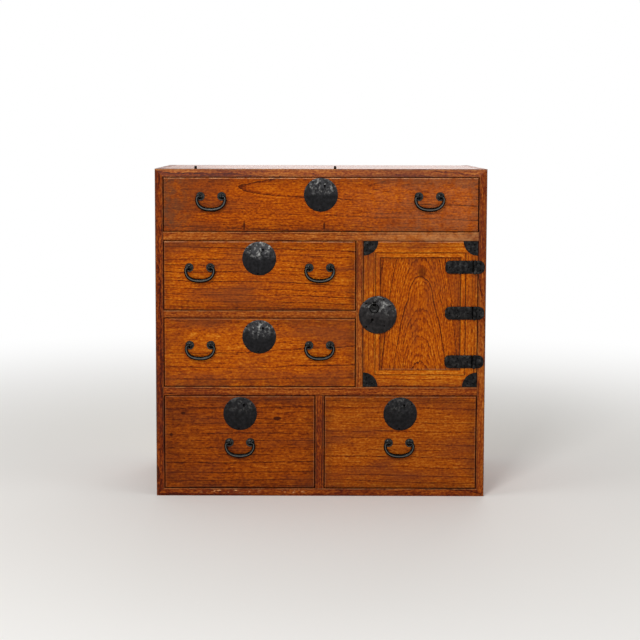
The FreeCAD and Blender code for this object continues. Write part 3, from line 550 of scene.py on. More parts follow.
@dataclass
class Wood:
    """The finish of one wooden node: its sawing, its lacquer, its aged outline with painted light and shade,
    and its bare parts.

    Chips lie between two places along X. A stain, or a patch of rub and painted sheen, is full at its
    first place along X, fades out at its second, and has a share.
    """

    name: str
    node: str
    sawing: Sawing
    finish: WoodFinish
    outline: Outline | None = None
    edging: Edging = Edging()
    bare: Bare | None = None
    second: tuple[Sawing, Callable[[NodeTree, Node], Node]] | None = None
    tone: float = 0.0
    chips: tuple[Pair, ...] = ()
    stains: tuple[Triple, ...] = ()
    rubs_and_sheen: tuple[Triple, ...] = ()
    face_reach: float = 3.4
    patch_mm: float = 24.0
    chip_mm: Pair = (13.0, 4.0)
    chip_height: float = 11.5
    chip_reach: float = 4.5
    chip_depth: float = 0.5
    coat_roughness: float = 0.22
    ior: float = 1.5
    relief_mm: float = 0.25

    def weathered(self, tree: NodeTree, spot: Node, colour: NodeSocket) -> NodeSocket:
        """Lay grime_and_shade, the dark line of painted gap shade, the light line of rub and painted
        highlight, and chips over the colour of the front face.

        Args:
            tree: the material's node tree.
            spot: mm from the chest's origin.
            colour: the colour below.
        Returns:
            The weathered colour.
        """
        edging, outline, finish = self.edging, self.outline, self.finish
        across, depth, up = add(tree, "SeparateXYZ", (spot,)).outputs
        gaps = [add(tree, "Math", pair, operation="SUBTRACT") for pair in (
            (across, outline.left), (outline.right, across), (up, outline.low), (outline.high, up),
        )]
        shares = (edging.side, edging.side, edging.foot, edging.top)
        nearest, rub_and_highlight, dark = gaps[0], 0.0, 0.0
        for gap, share, gap_shade in zip(gaps, shares, edging.gap_shade):
            nearest = add(tree, "Math", (nearest, gap), operation="MINIMUM")
            # the light line: rub and painted highlight, strongest along the top edge
            line = self.strip(tree, gap, edging.rub_and_highlight_at, edging.rub_and_highlight_reach, share)
            rub_and_highlight = add(tree, "Math", (line, rub_and_highlight), operation="MAXIMUM")
            # the dark line along the gap: painted shade
            line = self.strip(tree, gap, 0.0, edging.dark_width, gap_shade * edging.dark)
            dark = add(tree, "Math", (line, dark), operation="MAXIMUM")
        # the grooves' dark lines: painted shade
        dark = joined(tree, "MAXIMUM", dark, *(
            self.strip(tree, nearest, groove, edging.groove_reach, edging.groove) for groove in edging.grooves
        ))
        # grime_and_shade: darker towards the nearest edge, in patches
        grime_and_shade = add(tree, "MapRange", {
            "Value": nearest, "From Min": edging.grime_and_shade_width, "From Max": 0.0, "To Max": edging.grime_and_shade,
        }, interpolation_type="SMOOTHSTEP")
        grime_and_shade, rub_and_highlight = (
            joined(tree, "MAXIMUM", mask, *(
                add(tree, "MapRange", {
                    "Value": across, "From Min": end, "From Max": start, "To Max": share,
                }, interpolation_type="SMOOTHSTEP")
                for start, end, share in places
            ))
            for mask, places in ((grime_and_shade, self.stains), (rub_and_highlight, self.rubs_and_sheen))
        )
        patchy = add(tree, "TexNoise", {
            "Vector": spot, "Scale": 1 / self.patch_mm, "Detail": 4.0, "Roughness": 0.65,
        })
        dirty_and_shaded = add(tree, "MapRange", {
            "Value": patchy, "From Min": 0.35, "From Max": 0.65, "To Min": 0.25,
        })
        bright = add(tree, "MapRange", {
            "Value": patchy, "From Min": 0.38, "From Max": 0.6, "To Min": 0.15,
        })
        front = add(tree, "Math", (depth, outline.face + self.face_reach), operation="LESS_THAN")
        return overlaid(
            tree, colour,
            (joined(tree, "MULTIPLY", grime_and_shade, dirty_and_shaded, front), finish.grime_and_shade),
            (joined(tree, "MULTIPLY", rub_and_highlight, bright, front), finish.worn_and_highlight),
            (joined(tree, "MULTIPLY", dark, front), finish.grime_and_shade),
            *((self.chipped(tree, spot, start, end), finish.worn_and_highlight) for start, end in self.chips),
        )

    def strip(self, tree: NodeTree, gap: Node, middle: float, reach: float, share: float) -> Node:
        """Mark a line along an edge.

        Args:
            tree: the material's node tree.
            gap: the distance from the edge, mm.
            middle: the distance of the middle of the line, mm.
            reach: half the width of the line, mm.
            share: how strong the line is.
        Returns:
            The share on the line, and nought beyond its soft sides.
        """
        off = add(tree, "Math", (gap, middle), operation="SUBTRACT")
        soft = self.edging.soft
        return add(tree, "MapRange", {
            "Value": add(tree, "Math", (off,), operation="ABSOLUTE"),
            "From Min": reach + soft, "From Max": reach - soft, "To Max": share,
        })

    def chipped(self, tree: NodeTree, spot: Node, start: float, end: float) -> Node:
        """Mark small chips that are knocked out of the lower front edge.

        Args:
            tree: the material's node tree.
            spot: mm from the chest's origin.
            start: where they begin along X, mm.
            end: where they end along X, mm.
        Returns:
            The share of bright wood on the chips, and nought beside them.
        """
        across, depth, up = add(tree, "SeparateXYZ", (spot,)).outputs
        off = add(tree, "Math", (across, (start + end) / 2), operation="SUBTRACT")
        reach = add(tree, "MapRange", {
            "Value": add(tree, "Math", (off,), operation="ABSOLUTE"),
            "From Min": (end - start) / 2, "From Max": (end - start) / 4,
        })
        height = self.strip(tree, up, self.outline.low + self.chip_height, self.chip_reach, 1.0)
        scale = (1 / self.chip_mm[0], 0.0, 1 / self.chip_mm[1])
        flakes = add(tree, "TexNoise", {
            "Vector": add(tree, "VectorMath", (spot, scale), operation="MULTIPLY"),
            "Scale": 1.0, "Detail": 2.0, "Roughness": 0.6,
        })
        flakes = add(tree, "MapRange", {
            "Value": flakes, "From Min": 0.57, "From Max": 0.63, "To Max": 0.8,
        })
        front = add(tree, "Math", (depth, self.outline.face + self.chip_depth), operation="LESS_THAN")
        return joined(tree, "MULTIPLY", flakes, reach, height, front)

    def build(self) -> Material:
        """Make the material.

        Returns:
            The material.
        """
        finish = self.finish
        made, tree, output = new_material(self.name)
        spot = millimetres(tree)
        low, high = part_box(self.node)
        centre = (low + high) / (2 * MM)
        place = add(tree, "VectorMath", (spot, centre), operation="SUBTRACT")
        grain = GrainNodes(tree, place, self.sawing)
        colour, fibre = grain.colour(finish, self.tone), grain.fibre
        if self.second:
            sawing, region = self.second
            other = GrainNodes(tree, place, sawing)
            mask, twin = region(tree, spot), other.colour(finish, self.tone)
            colour = add(tree, "Mix", {0: mask, 6: colour, 7: twin}, data_type="RGBA").outputs[2]
            fibre = add(tree, "Mix", {0: mask, 2: fibre, 3: other.fibre})
        if self.outline:
            colour = self.weathered(tree, spot, colour)
        rough = add(tree, "MapRange", {
            "Value": grain.figure, "From Min": 0.3, "From Max": 0.7,
            "To Min": finish.roughness - 0.06, "To Max": finish.roughness + 0.1,
        })
        coat = finish.coat
        if self.bare:
            dirty_and_shaded, mask = self.bare.masks(tree, spot)
            # the gap walls behind the face are painted dark: painted shade
            colour, wood = overlaid(tree, colour, (dirty_and_shaded, finish.grime_and_shade)), grain.colour(BARE_WOOD)
            colour = add(tree, "Mix", {0: mask, 6: colour, 7: wood}, data_type="RGBA").outputs[2]
            rough = add(tree, "Mix", {0: mask, 2: rough, 3: BARE_WOOD.roughness})
            coat = add(tree, "Mix", {0: mask, 2: coat, 3: BARE_WOOD.coat})
        relief = add(tree, "Math", (grain.figure, 0.5, fibre), operation="MULTIPLY_ADD")
        bump = add(tree, "Bump", {
            "Strength": finish.bump, "Distance": self.relief_mm * MM, "Height": relief,
        })
        shader = add(tree, "BsdfPrincipled", {
            "Base Color": colour, "Roughness": rough, "Normal": bump, "Coat Weight": coat,
            "Coat Roughness": self.coat_roughness, "IOR": self.ior, "Specular IOR Level": finish.specular,
        })
        tree.links.new(shader.outputs[0], output.inputs[0])
        return made


# Iron

@dataclass(frozen=True)
class ForgedIron:
    """Hand-forged iron blackened with burnt oil: a thin dark gloss over dents, rubbed grey in places.

    The scuffed area lies about a place along X and Z, mm. There a painted sheen also lightens the
    upper part of a plate, standing for the bright room mirrored in its dome, and wear_and_sheen says
    how bright both are. polish_and_highlight paints a highlight along what faces the front.
    """

    name: str
    scuff_and_sheen_centre: Pair = (0.0, 0.0)
    scuff_and_sheen_reach: float = 0.0
    scuff_and_sheen_shape: Triple = (0.6, 0.0, 1.0)
    wear_and_sheen: float = 1.0
    polish_and_highlight: float = 0.0
    dust: float = 0.12
    black: str = "#131314"
    mottle: str = "#232224"
    scuff_and_highlight: str = "#C8C7C2"
    sheen: str = "#4A4A4C"
    tone_mm: float = 9.0
    grit_mm: float = 12.0
    dent_mm: float = 9.0
    relief_mm: float = 0.6
    dents: float = 0.16
    roughness: float = 0.4
    coat: float = 0.15
    coat_roughness: float = 0.3
    edge_tint: float = 0.1

    def build(self) -> Material:
        """Make the material.

        Returns:
            The material.
        """
        made, tree, output = new_material(self.name)
        spot = millimetres(tree)
        tone, grit = (
            add(tree, "TexNoise", {"Vector": spot, "Scale": 1 / size, "Detail": 4.0, "Roughness": rough})
            for size, rough in ((self.tone_mm, 0.6), (self.grit_mm, 0.68))
        )
        blotches = add(tree, "MapRange", {"Value": tone, "From Min": 0.4, "From Max": 0.64})
        colour = overlaid(tree, linear(self.black), (blotches, self.mottle))
        rub_and_highlight = add(tree, "MapRange", {
            "Value": grit, "From Min": 0.52, "From Max": 0.68, "To Max": self.wear_and_sheen,
        })
        if self.scuff_and_sheen_reach:
            centre = (self.scuff_and_sheen_centre[0], 0.0, self.scuff_and_sheen_centre[1])
            off = add(tree, "VectorMath", (spot, centre), operation="SUBTRACT")
            flat = add(tree, "VectorMath", (off, self.scuff_and_sheen_shape), operation="MULTIPLY")
            near = add(tree, "MapRange", {
                "Value": add(tree, "VectorMath", (flat,), operation="LENGTH").outputs["Value"],
                "From Min": self.scuff_and_sheen_reach, "From Max": 0.0,
            }, interpolation_type="SMOOTHSTEP")
            rub_and_highlight = joined(tree, "MULTIPLY", rub_and_highlight, near)
            # painted sheen: the upper part of the plate made lighter, as a reflection of the light above
            worn_and_highlight = add(tree, "MapRange", {
                "Value": tone, "From Min": 0.3, "From Max": 0.6, "To Max": self.wear_and_sheen,
            })
            colour = overlaid(tree, colour, (joined(tree, "MULTIPLY", near, worn_and_highlight), self.sheen))
        else:
            rub_and_highlight = add(tree, "Math", (rub_and_highlight, self.dust), operation="MULTIPLY")
        # painted highlight along what faces the front
        if self.polish_and_highlight:
            highlight_crest = add(tree, "Attribute", attribute_name="highlight_crest").outputs["Fac"]
            rub_and_highlight = add(tree, "Math", (highlight_crest, self.polish_and_highlight, rub_and_highlight), operation="MULTIPLY_ADD")
        rough = add(tree, "MapRange", {
            "Value": tone, "From Min": 0.35, "From Max": 0.65,
            "To Min": self.roughness - 0.07, "To Max": self.roughness + 0.07,
        })
        dent = add(tree, "TexVoronoi", {
            "Vector": spot, "Scale": 1 / self.dent_mm, "Smoothness": 1.0, "Randomness": 1.0,
        }, feature="SMOOTH_F1").outputs["Distance"]
        relief = add(tree, "Math", (grit, 0.35, dent), operation="MULTIPLY_ADD")
        shader = add(tree, "BsdfPrincipled", {
            "Base Color": overlaid(tree, colour, (rub_and_highlight, self.scuff_and_highlight)), "Roughness": rough,
            "Normal": add(tree, "Bump", {
                "Strength": self.dents, "Distance": self.relief_mm * MM, "Height": relief,
            }),
            "Metallic": 1.0, "Specular Tint": (self.edge_tint, self.edge_tint, self.edge_tint, 1.0),
            "Coat Weight": self.coat, "Coat Roughness": self.coat_roughness,
        })
        tree.links.new(shader.outputs[0], output.inputs[0])
        return made


# Plates, straps and studs, blackened with burnt oil: almost black, with a soft gloss on the dents
BLACKENED_IRON = ForgedIron("forged_iron", dust=0.07, black="#0C0C0D", mottle="#262525", coat=0.12)
# Bails that hands have made smooth: black, with a painted highlight along the front of the bar
BAIL_IRON = ForgedIron(
    "rubbed_highlit_bail_iron", polish_and_highlight=0.24, dust=0.03, black="#0B0B0B", mottle="#141313", dents=0.05,
    roughness=0.28, coat=0.06,
)
# Rosettes and eye pins, which get less of the rubbing: black, with a faint painted highlight on the rosettes'
# faces
ROSETTE_IRON = ForgedIron(
    "rubbed_highlit_rosette_iron", polish_and_highlight=0.14, dust=0.04, black="#0B0B0B", mottle="#1C1B1B", dents=0.05,
    roughness=0.3, coat=0.06,
)
# Nail heads, thick with soot, and the discs of painted shade at the bottoms of key holes: dull black
NAIL_IRON = ForgedIron(
    "sooty_nail_and_hole_shade_iron", dust=0.0, black="#080808", mottle="#0D0B0B", dents=0.05, roughness=0.6, coat=0.0,
)
# Lock bolts, which slide bare in their cases: grey iron without its black
BOLT_IRON = ForgedIron("worn_iron", black="#5A5856", mottle="#625A52", dents=0.2, roughness=0.36)


# Modelling

def deselect() -> None:
    """Leave edit mode and select nothing."""
    if bpy.context.object and bpy.context.object.mode != "OBJECT":
        bpy.ops.object.mode_set(mode="OBJECT")
    bpy.ops.object.select_all(action="DESELECT")


def select(*pieces: Object) -> None:
    """Select some pieces and nothing else.

    Args:
        pieces: the pieces, of which the first one becomes active.
    """
    deselect()
    for piece in pieces:
        piece.select_set(True)
    bpy.context.view_layer.objects.active = pieces[0]


def select_edges(piece: Object, test: Callable[[Vector, Vector], bool]) -> None:
    """Enter edit mode with some edges selected.

    Args:
        piece: the piece, which is the active one.
        test: what the two ends of an edge have to pass.
    """
    bpy.ops.object.mode_set(mode="EDIT")
    bpy.ops.mesh.select_mode(type="EDGE")
    bpy.ops.mesh.select_all(action="DESELECT")
    bpy.ops.object.mode_set(mode="OBJECT")
    points = piece.data.vertices
    for edge in piece.data.edges:
        edge.select = test(*(points[index].co for index in edge.vertices))
    bpy.ops.object.mode_set(mode="EDIT")


def turned(rings: tuple[Pair, ...], sides: int = 48) -> Object:
    """A round piece about Z, as on a lathe: each ring is extruded from the one below and resized.

    Args:
        rings: radius and height of each ring, mm, from the bottom up.
        sides: faces round the piece.
    Returns:
        The closed piece.
    """
    deselect()
    (radius, height), *rest = rings
    bpy.ops.mesh.primitive_circle_add(
        vertices=sides, radius=radius * MM, fill_type="NGON", location=(0, 0, height * MM),
    )
    piece = bpy.context.object
    bpy.ops.object.transform_apply(location=True)
    bpy.ops.object.mode_set(mode="EDIT")
    bpy.ops.mesh.select_all(action="SELECT")
    for wider, higher in rest:
        bpy.ops.mesh.extrude_region_move(TRANSFORM_OT_translate={"value": (0, 0, (higher - height) * MM)})
        if wider != radius:
            share, middle = wider / radius, (0, 0, higher * MM)
            bpy.ops.transform.resize(value=(share, share, 1), center_override=middle)
        radius, height = wider, higher
    bpy.ops.mesh.select_all(action="SELECT")
    bpy.ops.mesh.normals_make_consistent(inside=False)
    bpy.ops.object.mode_set(mode="OBJECT")
    return piece


def disc(radius: float, rings: tuple[Pair, ...], sides: int = 48) -> Object:
    """A round plate, each of its rings given by how far it lies in from the rim and its height, mm."""
    return turned(tuple((radius - inset, height) for inset, height in rings), sides)


def slab(size: Triple, middle: Triple = (0, 0, 0)) -> Object:
    """A box.

    Args:
        size: its size along X, Y and Z, mm.
        middle: the place of its middle, mm.
    Returns:
        The box.
    """
    deselect()
    bpy.ops.mesh.primitive_cube_add(size=1, location=Vector(middle) * MM, scale=Vector(size) * MM)
    bpy.ops.object.transform_apply(location=True, scale=True)
    return bpy.context.object


def bevel_edges(piece: Object, width: float, segments: int, angle: float = 40.0) -> None:
    """Round the sharp edges of a piece.

    Args:
        piece: the piece.
        width: the width of the bevel, mm.
        segments: faces across it.
        angle: the least turn at an edge that gets one, in degrees.
    """
    select(piece)
    bevel = piece.modifiers.new("round", "BEVEL")
    bevel.width = width * MM
    bevel.segments = segments
    bevel.angle_limit = math.radians(angle)
    bpy.ops.object.modifier_apply(modifier=bevel.name)


def cut(piece: Object, cutters: list[Object]) -> None:
    """Cut holes in a piece.

    Args:
        piece: the piece.
        cutters: solids where the holes are, which are deleted.
    """
    for cutter in cutters:
        select(piece)
        hole = piece.modifiers.new("hole", "BOOLEAN")
        hole.object = cutter
        hole.solver = "EXACT"
        bpy.ops.object.modifier_apply(modifier=hole.name)
        bpy.data.objects.remove(cutter)


def placed(piece: Object, spot: Triple | Vector, way: Way = Way.UP) -> Object:
    """Turn a piece and move it, and leave its object at the origin.

    Args:
        piece: the piece.
        spot: where its origin goes, mm.
        way: how it is turned.
    Returns:
        The piece.
    """
    select(piece)
    piece.rotation_euler = tuple(math.radians(angle) for angle in way.value)
    piece.location = Vector(spot) * MM
    bpy.ops.object.transform_apply(location=True, rotation=True, scale=True)
    return piece


def copied(piece: Object) -> Object:
    """Copy a piece.

    Args:
        piece: the piece.
    Returns:
        A copy with its own mesh.
    """
    twin = piece.copy()
    twin.data = piece.data.copy()
    bpy.context.scene.collection.objects.link(twin)
    return twin


def merged(*parts: Object) -> Object:
    """Join parts into the first of them.

    Args:
        parts: the closed shells to join.
    Returns:
        The joined piece.
    """
    select(*parts)
    if len(parts) > 1:
        bpy.ops.object.join()
    return bpy.context.object


def finished(name: str, parts: list[Object], body: str, material: Material) -> Object:
    """Join parts into one named piece of iron that rides on a body.

    Args:
        name: the piece's name.
        parts: the closed shells that it is made of.
        body: the body that it moves with.
        material: its finish.
    Returns:
        The finished piece.
    """
    piece = merged(*parts)
    piece.name = name
    piece.data.name = name
    piece.data.materials.clear()
    piece.data.materials.append(material)
    bpy.ops.object.shade_smooth_by_angle(angle=math.radians(SMOOTH_DEGREES))
    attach(piece, body)
    LOG.info("%s: %d faces on %s", name, len(piece.data.polygons), body)
    return piece


def mark_highlight_crest(piece: Object, reach: float = 0.04) -> Object:
    """Mark on the mesh what faces the front, which hands rub, and where the finish paints a highlight.

    Args:
        piece: the piece.
        reach: how far from facing the front the mark fades out, as one less the cosine.
    Returns:
        The piece.
    """
    highlight_crest = piece.data.attributes.new("highlight_crest", "FLOAT", "POINT")
    for value, point in zip(highlight_crest.data, piece.data.vertices):
        value.value = max(0.0, 1 - (1 + point.normal.y) / reach)
    return piece


def dress(node: str, material: Material) -> None:
    """Give a node of the frame its finish.

    Args:
        node: the node's name.
        material: its finish.
    """
    piece = frame["nodes"][node]
    piece.data.materials.clear()
    piece.data.materials.append(material)
    LOG.info("%s wears %s", node, material.name)


# Ironwork

@dataclass
class Nails:
    """Hand-cut nails with small domed heads, sunk a little in what they hold.

    The dome's rings are shares of the head's radius and of its rise.
    """

    head: float = 1.9
    rise: float = 0.9
    sunk: float = 0.4
    dome: tuple[Pair, ...] = ((1.0, 0.25), (0.78, 0.75), (0.35, 1.0))

    def build(self, name: str, spots: list[Triple], body: str, iron: Material,
              hole_shades: tuple[Object, ...] = ()) -> None:
        """Drive the nails of one body, with their heads to the front.

        Args:
            name: the piece's name.
            spots: the foot of each head, mm.
            body: the body that they ride on.
            iron: their finish.
            hole_shades: discs of painted shade at the bottoms of the key holes, which share that finish.
        """
        dome = ((wide * self.head, high * self.rise) for wide, high in self.dome)
        pattern = turned(((self.head, -self.sunk), *dome), sides=12)
        heads = [placed(copied(pattern), spot, Way.FRONT) for spot in spots]
        bpy.data.objects.remove(pattern)
        finished(name, [*heads, *hole_shades], body, iron)


def hole_shade(radius: float, spot: Triple) -> Object:
    """A dark dished disc of painted shade at the bottom of a hole in a plate, facing the front, mm."""
    rings = ((radius, 0.0), (radius, 0.5), (0.8 * radius, 0.35), (0.1 * radius, 0.3))
    return placed(turned(rings, sides=24), spot, Way.FRONT)


def drill(radius: float, across: float, up: float, sides: int = 24, start: float = -1.0) -> Object:
    """A round cutter for a plate that lies flat, mm, which begins at a height."""
    return placed(turned(((radius, start), (radius, DRILL_TOP)), sides), (across, up, 0))


@dataclass
class Bail:
    """A swinging handle: a drooping bar that thickens to the middle and curls in at its ends."""

    handle_span: float = 27.75
    reach: float = 37.0
    drop: float = 34.6
    curl: float = 6.0
    overhang: float = 4.2
    middle_bar: float = 5.5
    side_bar: float = 4.0
    end_bar: float = 2.4
    tip_round: float = 0.9
    power: float = 2.35
    curl_stations: tuple[int, ...] = (90, 58, 28)
    stations: tuple[int, ...] = (0, 22, 42, 60, 76, 90)

    def centre_line(self) -> list[Triple]:
        """Lay out the bar from tip to tip.

        Returns:
            The points of its centre line: across, up and the bar's radius there, mm.
        """
        half = [(self.handle_span - self.overhang, 0.0, self.end_bar)]
        for angle in self.curl_stations:
            turn = math.radians(angle)
            bar = self.end_bar + (self.side_bar - self.end_bar) * (90 - angle) / 90
            half.append((
                self.reach - self.curl + self.curl * math.cos(turn), self.curl * (math.sin(turn) - 1), bar,
            ))
        for angle in self.stations:
            turn = math.radians(angle)
            half.append((
                self.reach * max(math.cos(turn), 0.0) ** (2 / self.power),
                -self.curl - (self.drop - self.curl) * math.sin(turn) ** (2 / self.power),
                self.side_bar + (self.middle_bar - self.side_bar) * angle / 90,
            ))
        return half + [(-x, z, bar) for x, z, bar in reversed(half[:-1])]

    def build(self) -> Object:
        """Bend the bar along its line, with rounded tips.

        Returns:
            The bail, hanging from the middle of its pivot.
        """
        deselect()
        bpy.ops.curve.primitive_bezier_curve_add()
        piece = bpy.context.object
        curve = piece.data
        spline = curve.splines[0]
        line = self.centre_line()
        spline.bezier_points.add(len(line) - 2)
        for point, (x, z, bar) in zip(spline.bezier_points, line):
            point.co = Vector((x, 0, z)) * MM
            point.radius = bar / self.middle_bar
            point.handle_left_type = "AUTO"
            point.handle_right_type = "AUTO"
        curve.bevel_depth = self.middle_bar * MM
        curve.bevel_resolution = 8
        curve.resolution_u = 8
        curve.use_fill_caps = True
        bpy.ops.object.convert(target="MESH")
        bevel_edges(piece, self.tip_round, 3, angle=60.0)
        return piece


@dataclass
class HandleMount:
    """A rosette with a dished face and the split pin whose eye holds one end of a bail.

    The washer's rim is raised round a shallow dish: its rings are how far in from the rim they lie
    and their height. The shank starts inside the eye's wire, rooted so far out from its middle.
    """

    rosette: float = 11.5
    washer: tuple[Pair, ...] = (
        (0.0, 0.0), (0.0, 0.7), (0.6, 1.4), (1.6, 1.6), (2.6, 1.2), (3.6, 0.9), (4.6, 1.6), (6.0, 2.6),
        (8.0, 3.1), (10.5, 3.2),
    )
    stand: float = 7.5
    eye: float = 4.05
    eye_wire: float = 1.15
    eye_width: float = 4.2
    rooted: float = 0.3
    shank: float = 4.0
    wood: float = 19.0
    leg: float = 10.0
    leg_thick: float = 1.6
    ease: float = 0.5

    def build_rosette(self) -> Object:
        """Turn the washer."""
        return disc(self.rosette, self.washer)

    def build_pin(self) -> Object:
        """Make the eye, the shank through the front and the two legs clenched behind it.

        Returns:
            The pin, with the middle of its eye at the origin.
        """
        deselect()
        bpy.ops.mesh.primitive_torus_add(
            major_segments=28, minor_segments=12, major_radius=self.eye * MM, minor_radius=self.eye_wire * MM,
        )
        eye = bpy.context.object
        eye.scale.z = self.eye_width / (2 * self.eye_wire)
        bpy.ops.object.transform_apply(scale=True)
        eye = placed(eye, (0, 0, 0), Way.RIGHT)
        inner = self.stand + self.wood
        start, end = self.eye + self.rooted, inner + self.leg_thick
        shank = slab((self.shank, end - start, self.shank), (0, (end + start) / 2, 0))
        legs = slab((self.shank, self.leg_thick, 2 * self.leg), (0, inner + self.leg_thick / 2, 0))
        for part in (shank, legs):
            bevel_edges(part, self.ease, 2)
        return merged(eye, shank, legs)


@dataclass
class LockPlate:
    """A round plate, slightly domed by the hammer, with a key hole, and the lock's case behind it.

    The dome's rings are how far in from the rim they lie and their height. A hole is its place from
    the plate's middle, across and up, and its radius.
    """

    node: str
    radius: float = 44.5
    thick: float = 3.0
    dome: tuple[Pair, ...] = (
        (0.0, 0.0), (0.0, 0.8), (0.5, 1.35), (1.8, 1.75), (6.0, 2.1), (14.0, 2.5), (26.0, 2.85), (38.5, 3.0),
    )
    case: Triple = (46.0, 11.0, 52.0)
    ease: float = 0.6
    holes: tuple[Triple, ...] = ((10.0, 23.5, 3.1), (10.0, 19.2, 1.5))

    def build(self, body: str, iron: Material) -> list[Object]:
        """Make the plate in place of its node.

        Args:
            body: the body that it rides on.
            iron: its finish.
        Returns:
            The discs of painted shade at the bottom of its key hole.
        """
        low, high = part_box(self.node)
        plate = disc(self.radius, self.dome, sides=96)
        width, depth, height = self.case
        case = slab((width, height, depth), (0, 0, LAP - depth / 2))
        bevel_edges(case, self.ease, 2)
        cut(plate, [drill(size, x, z) for x, z, size in self.holes])
        spot = Vector(((low.x + high.x) / (2 * MM), low.y / MM + self.thick, (low.z + high.z) / (2 * MM)))
        for part in (plate, case):
            placed(part, spot, Way.FRONT)
        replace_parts(finished(f"{self.node}_disc", [plate, case], body, iron), self.node)
        return [hole_shade(size, (spot.x + x, spot.y, spot.z + z)) for x, z, size in self.holes]


@dataclass
class DrawerIron:
    """The iron of one drawer: its bails, their mounts, its lock plate and the plate's nails.

    The scuffed area of the plate, which also carries a painted sheen, lies across and up from the
    plate's middle.
    """

    name: str
    wear_and_sheen: float
    scuff_and_sheen_at: Pair = (5.0, 30.0)
    scuff_and_sheen_reach: float = 42.0
    nail_foot: float = 0.7
    nail_spots: tuple[Pair, ...] = ((-33.0, 27.0), (30.5, 26.0), (-3.0, -39.5))

    def handles(self) -> list[tuple[str, Vector]]:
        """The handle bodies of this drawer with the middle of their pivots, mm."""
        return [
            (joint["child"], Vector(joint["pos_m"]) / MM)
            for joint in frame["joints"] if joint["parent"] == self.name and joint["type"] == "hinge"
        ]

    def build(self, rub_and_highlight: Material, domed: Material, soot_and_shade: Material, bail: Object, rosette: Object,
              pin: Object) -> None:
        """Hang the handles, set the lock plate and drive its nails.

        Args:
            rub_and_highlight: the finish of the bails, with its painted highlight.
            domed: the finish of their rosettes and pins.
            soot_and_shade: the finish of the nails and of the painted shade in the key hole.
            bail: the bail to copy.
            rosette: the rosette to copy.
            pin: the eye pin to copy.
        """
        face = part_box(f"{self.name}_front")[0].y / MM
        rosettes, pins = [], []
        span = Bail().handle_span
        for body, pivot in self.handles():
            mark_highlight_crest(finished(f"{body}_bail", [placed(copied(bail), pivot)], body, rub_and_highlight))
            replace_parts(bpy.data.objects[f"{body}_bail"], body)
            for side in (-span, span):
                rosettes.append(placed(copied(rosette), (pivot.x + side, face, pivot.z), Way.FRONT))
                pins.append(placed(copied(pin), (pivot.x + side, pivot.y, pivot.z)))
        mark_highlight_crest(finished(f"{self.name}_rosettes", rosettes, self.name, domed))
        pinned = finished(f"{self.name}_eye_pins", pins, self.name, domed)
        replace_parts(pinned, f"{self.name}_handle_mounts")
        low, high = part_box(f"{self.name}_lock_plate")
        middle = (low + high) / (2 * MM)
        scuffed = (middle.x + self.scuff_and_sheen_at[0], middle.z + self.scuff_and_sheen_at[1])
        plate_iron = ForgedIron(
            f"forged_plate_{self.name}", scuff_and_sheen_centre=scuffed, scuff_and_sheen_reach=self.scuff_and_sheen_reach, wear_and_sheen=self.wear_and_sheen,
        ).build()
        hole_shades = LockPlate(f"{self.name}_lock_plate").build(self.name, plate_iron)
        Nails().build(f"{self.name}_plate_nails", [
            (middle.x + x, low.y / MM + self.nail_foot, middle.z + z) for x, z in self.nail_spots
        ], self.name, soot_and_shade, hole_shades)


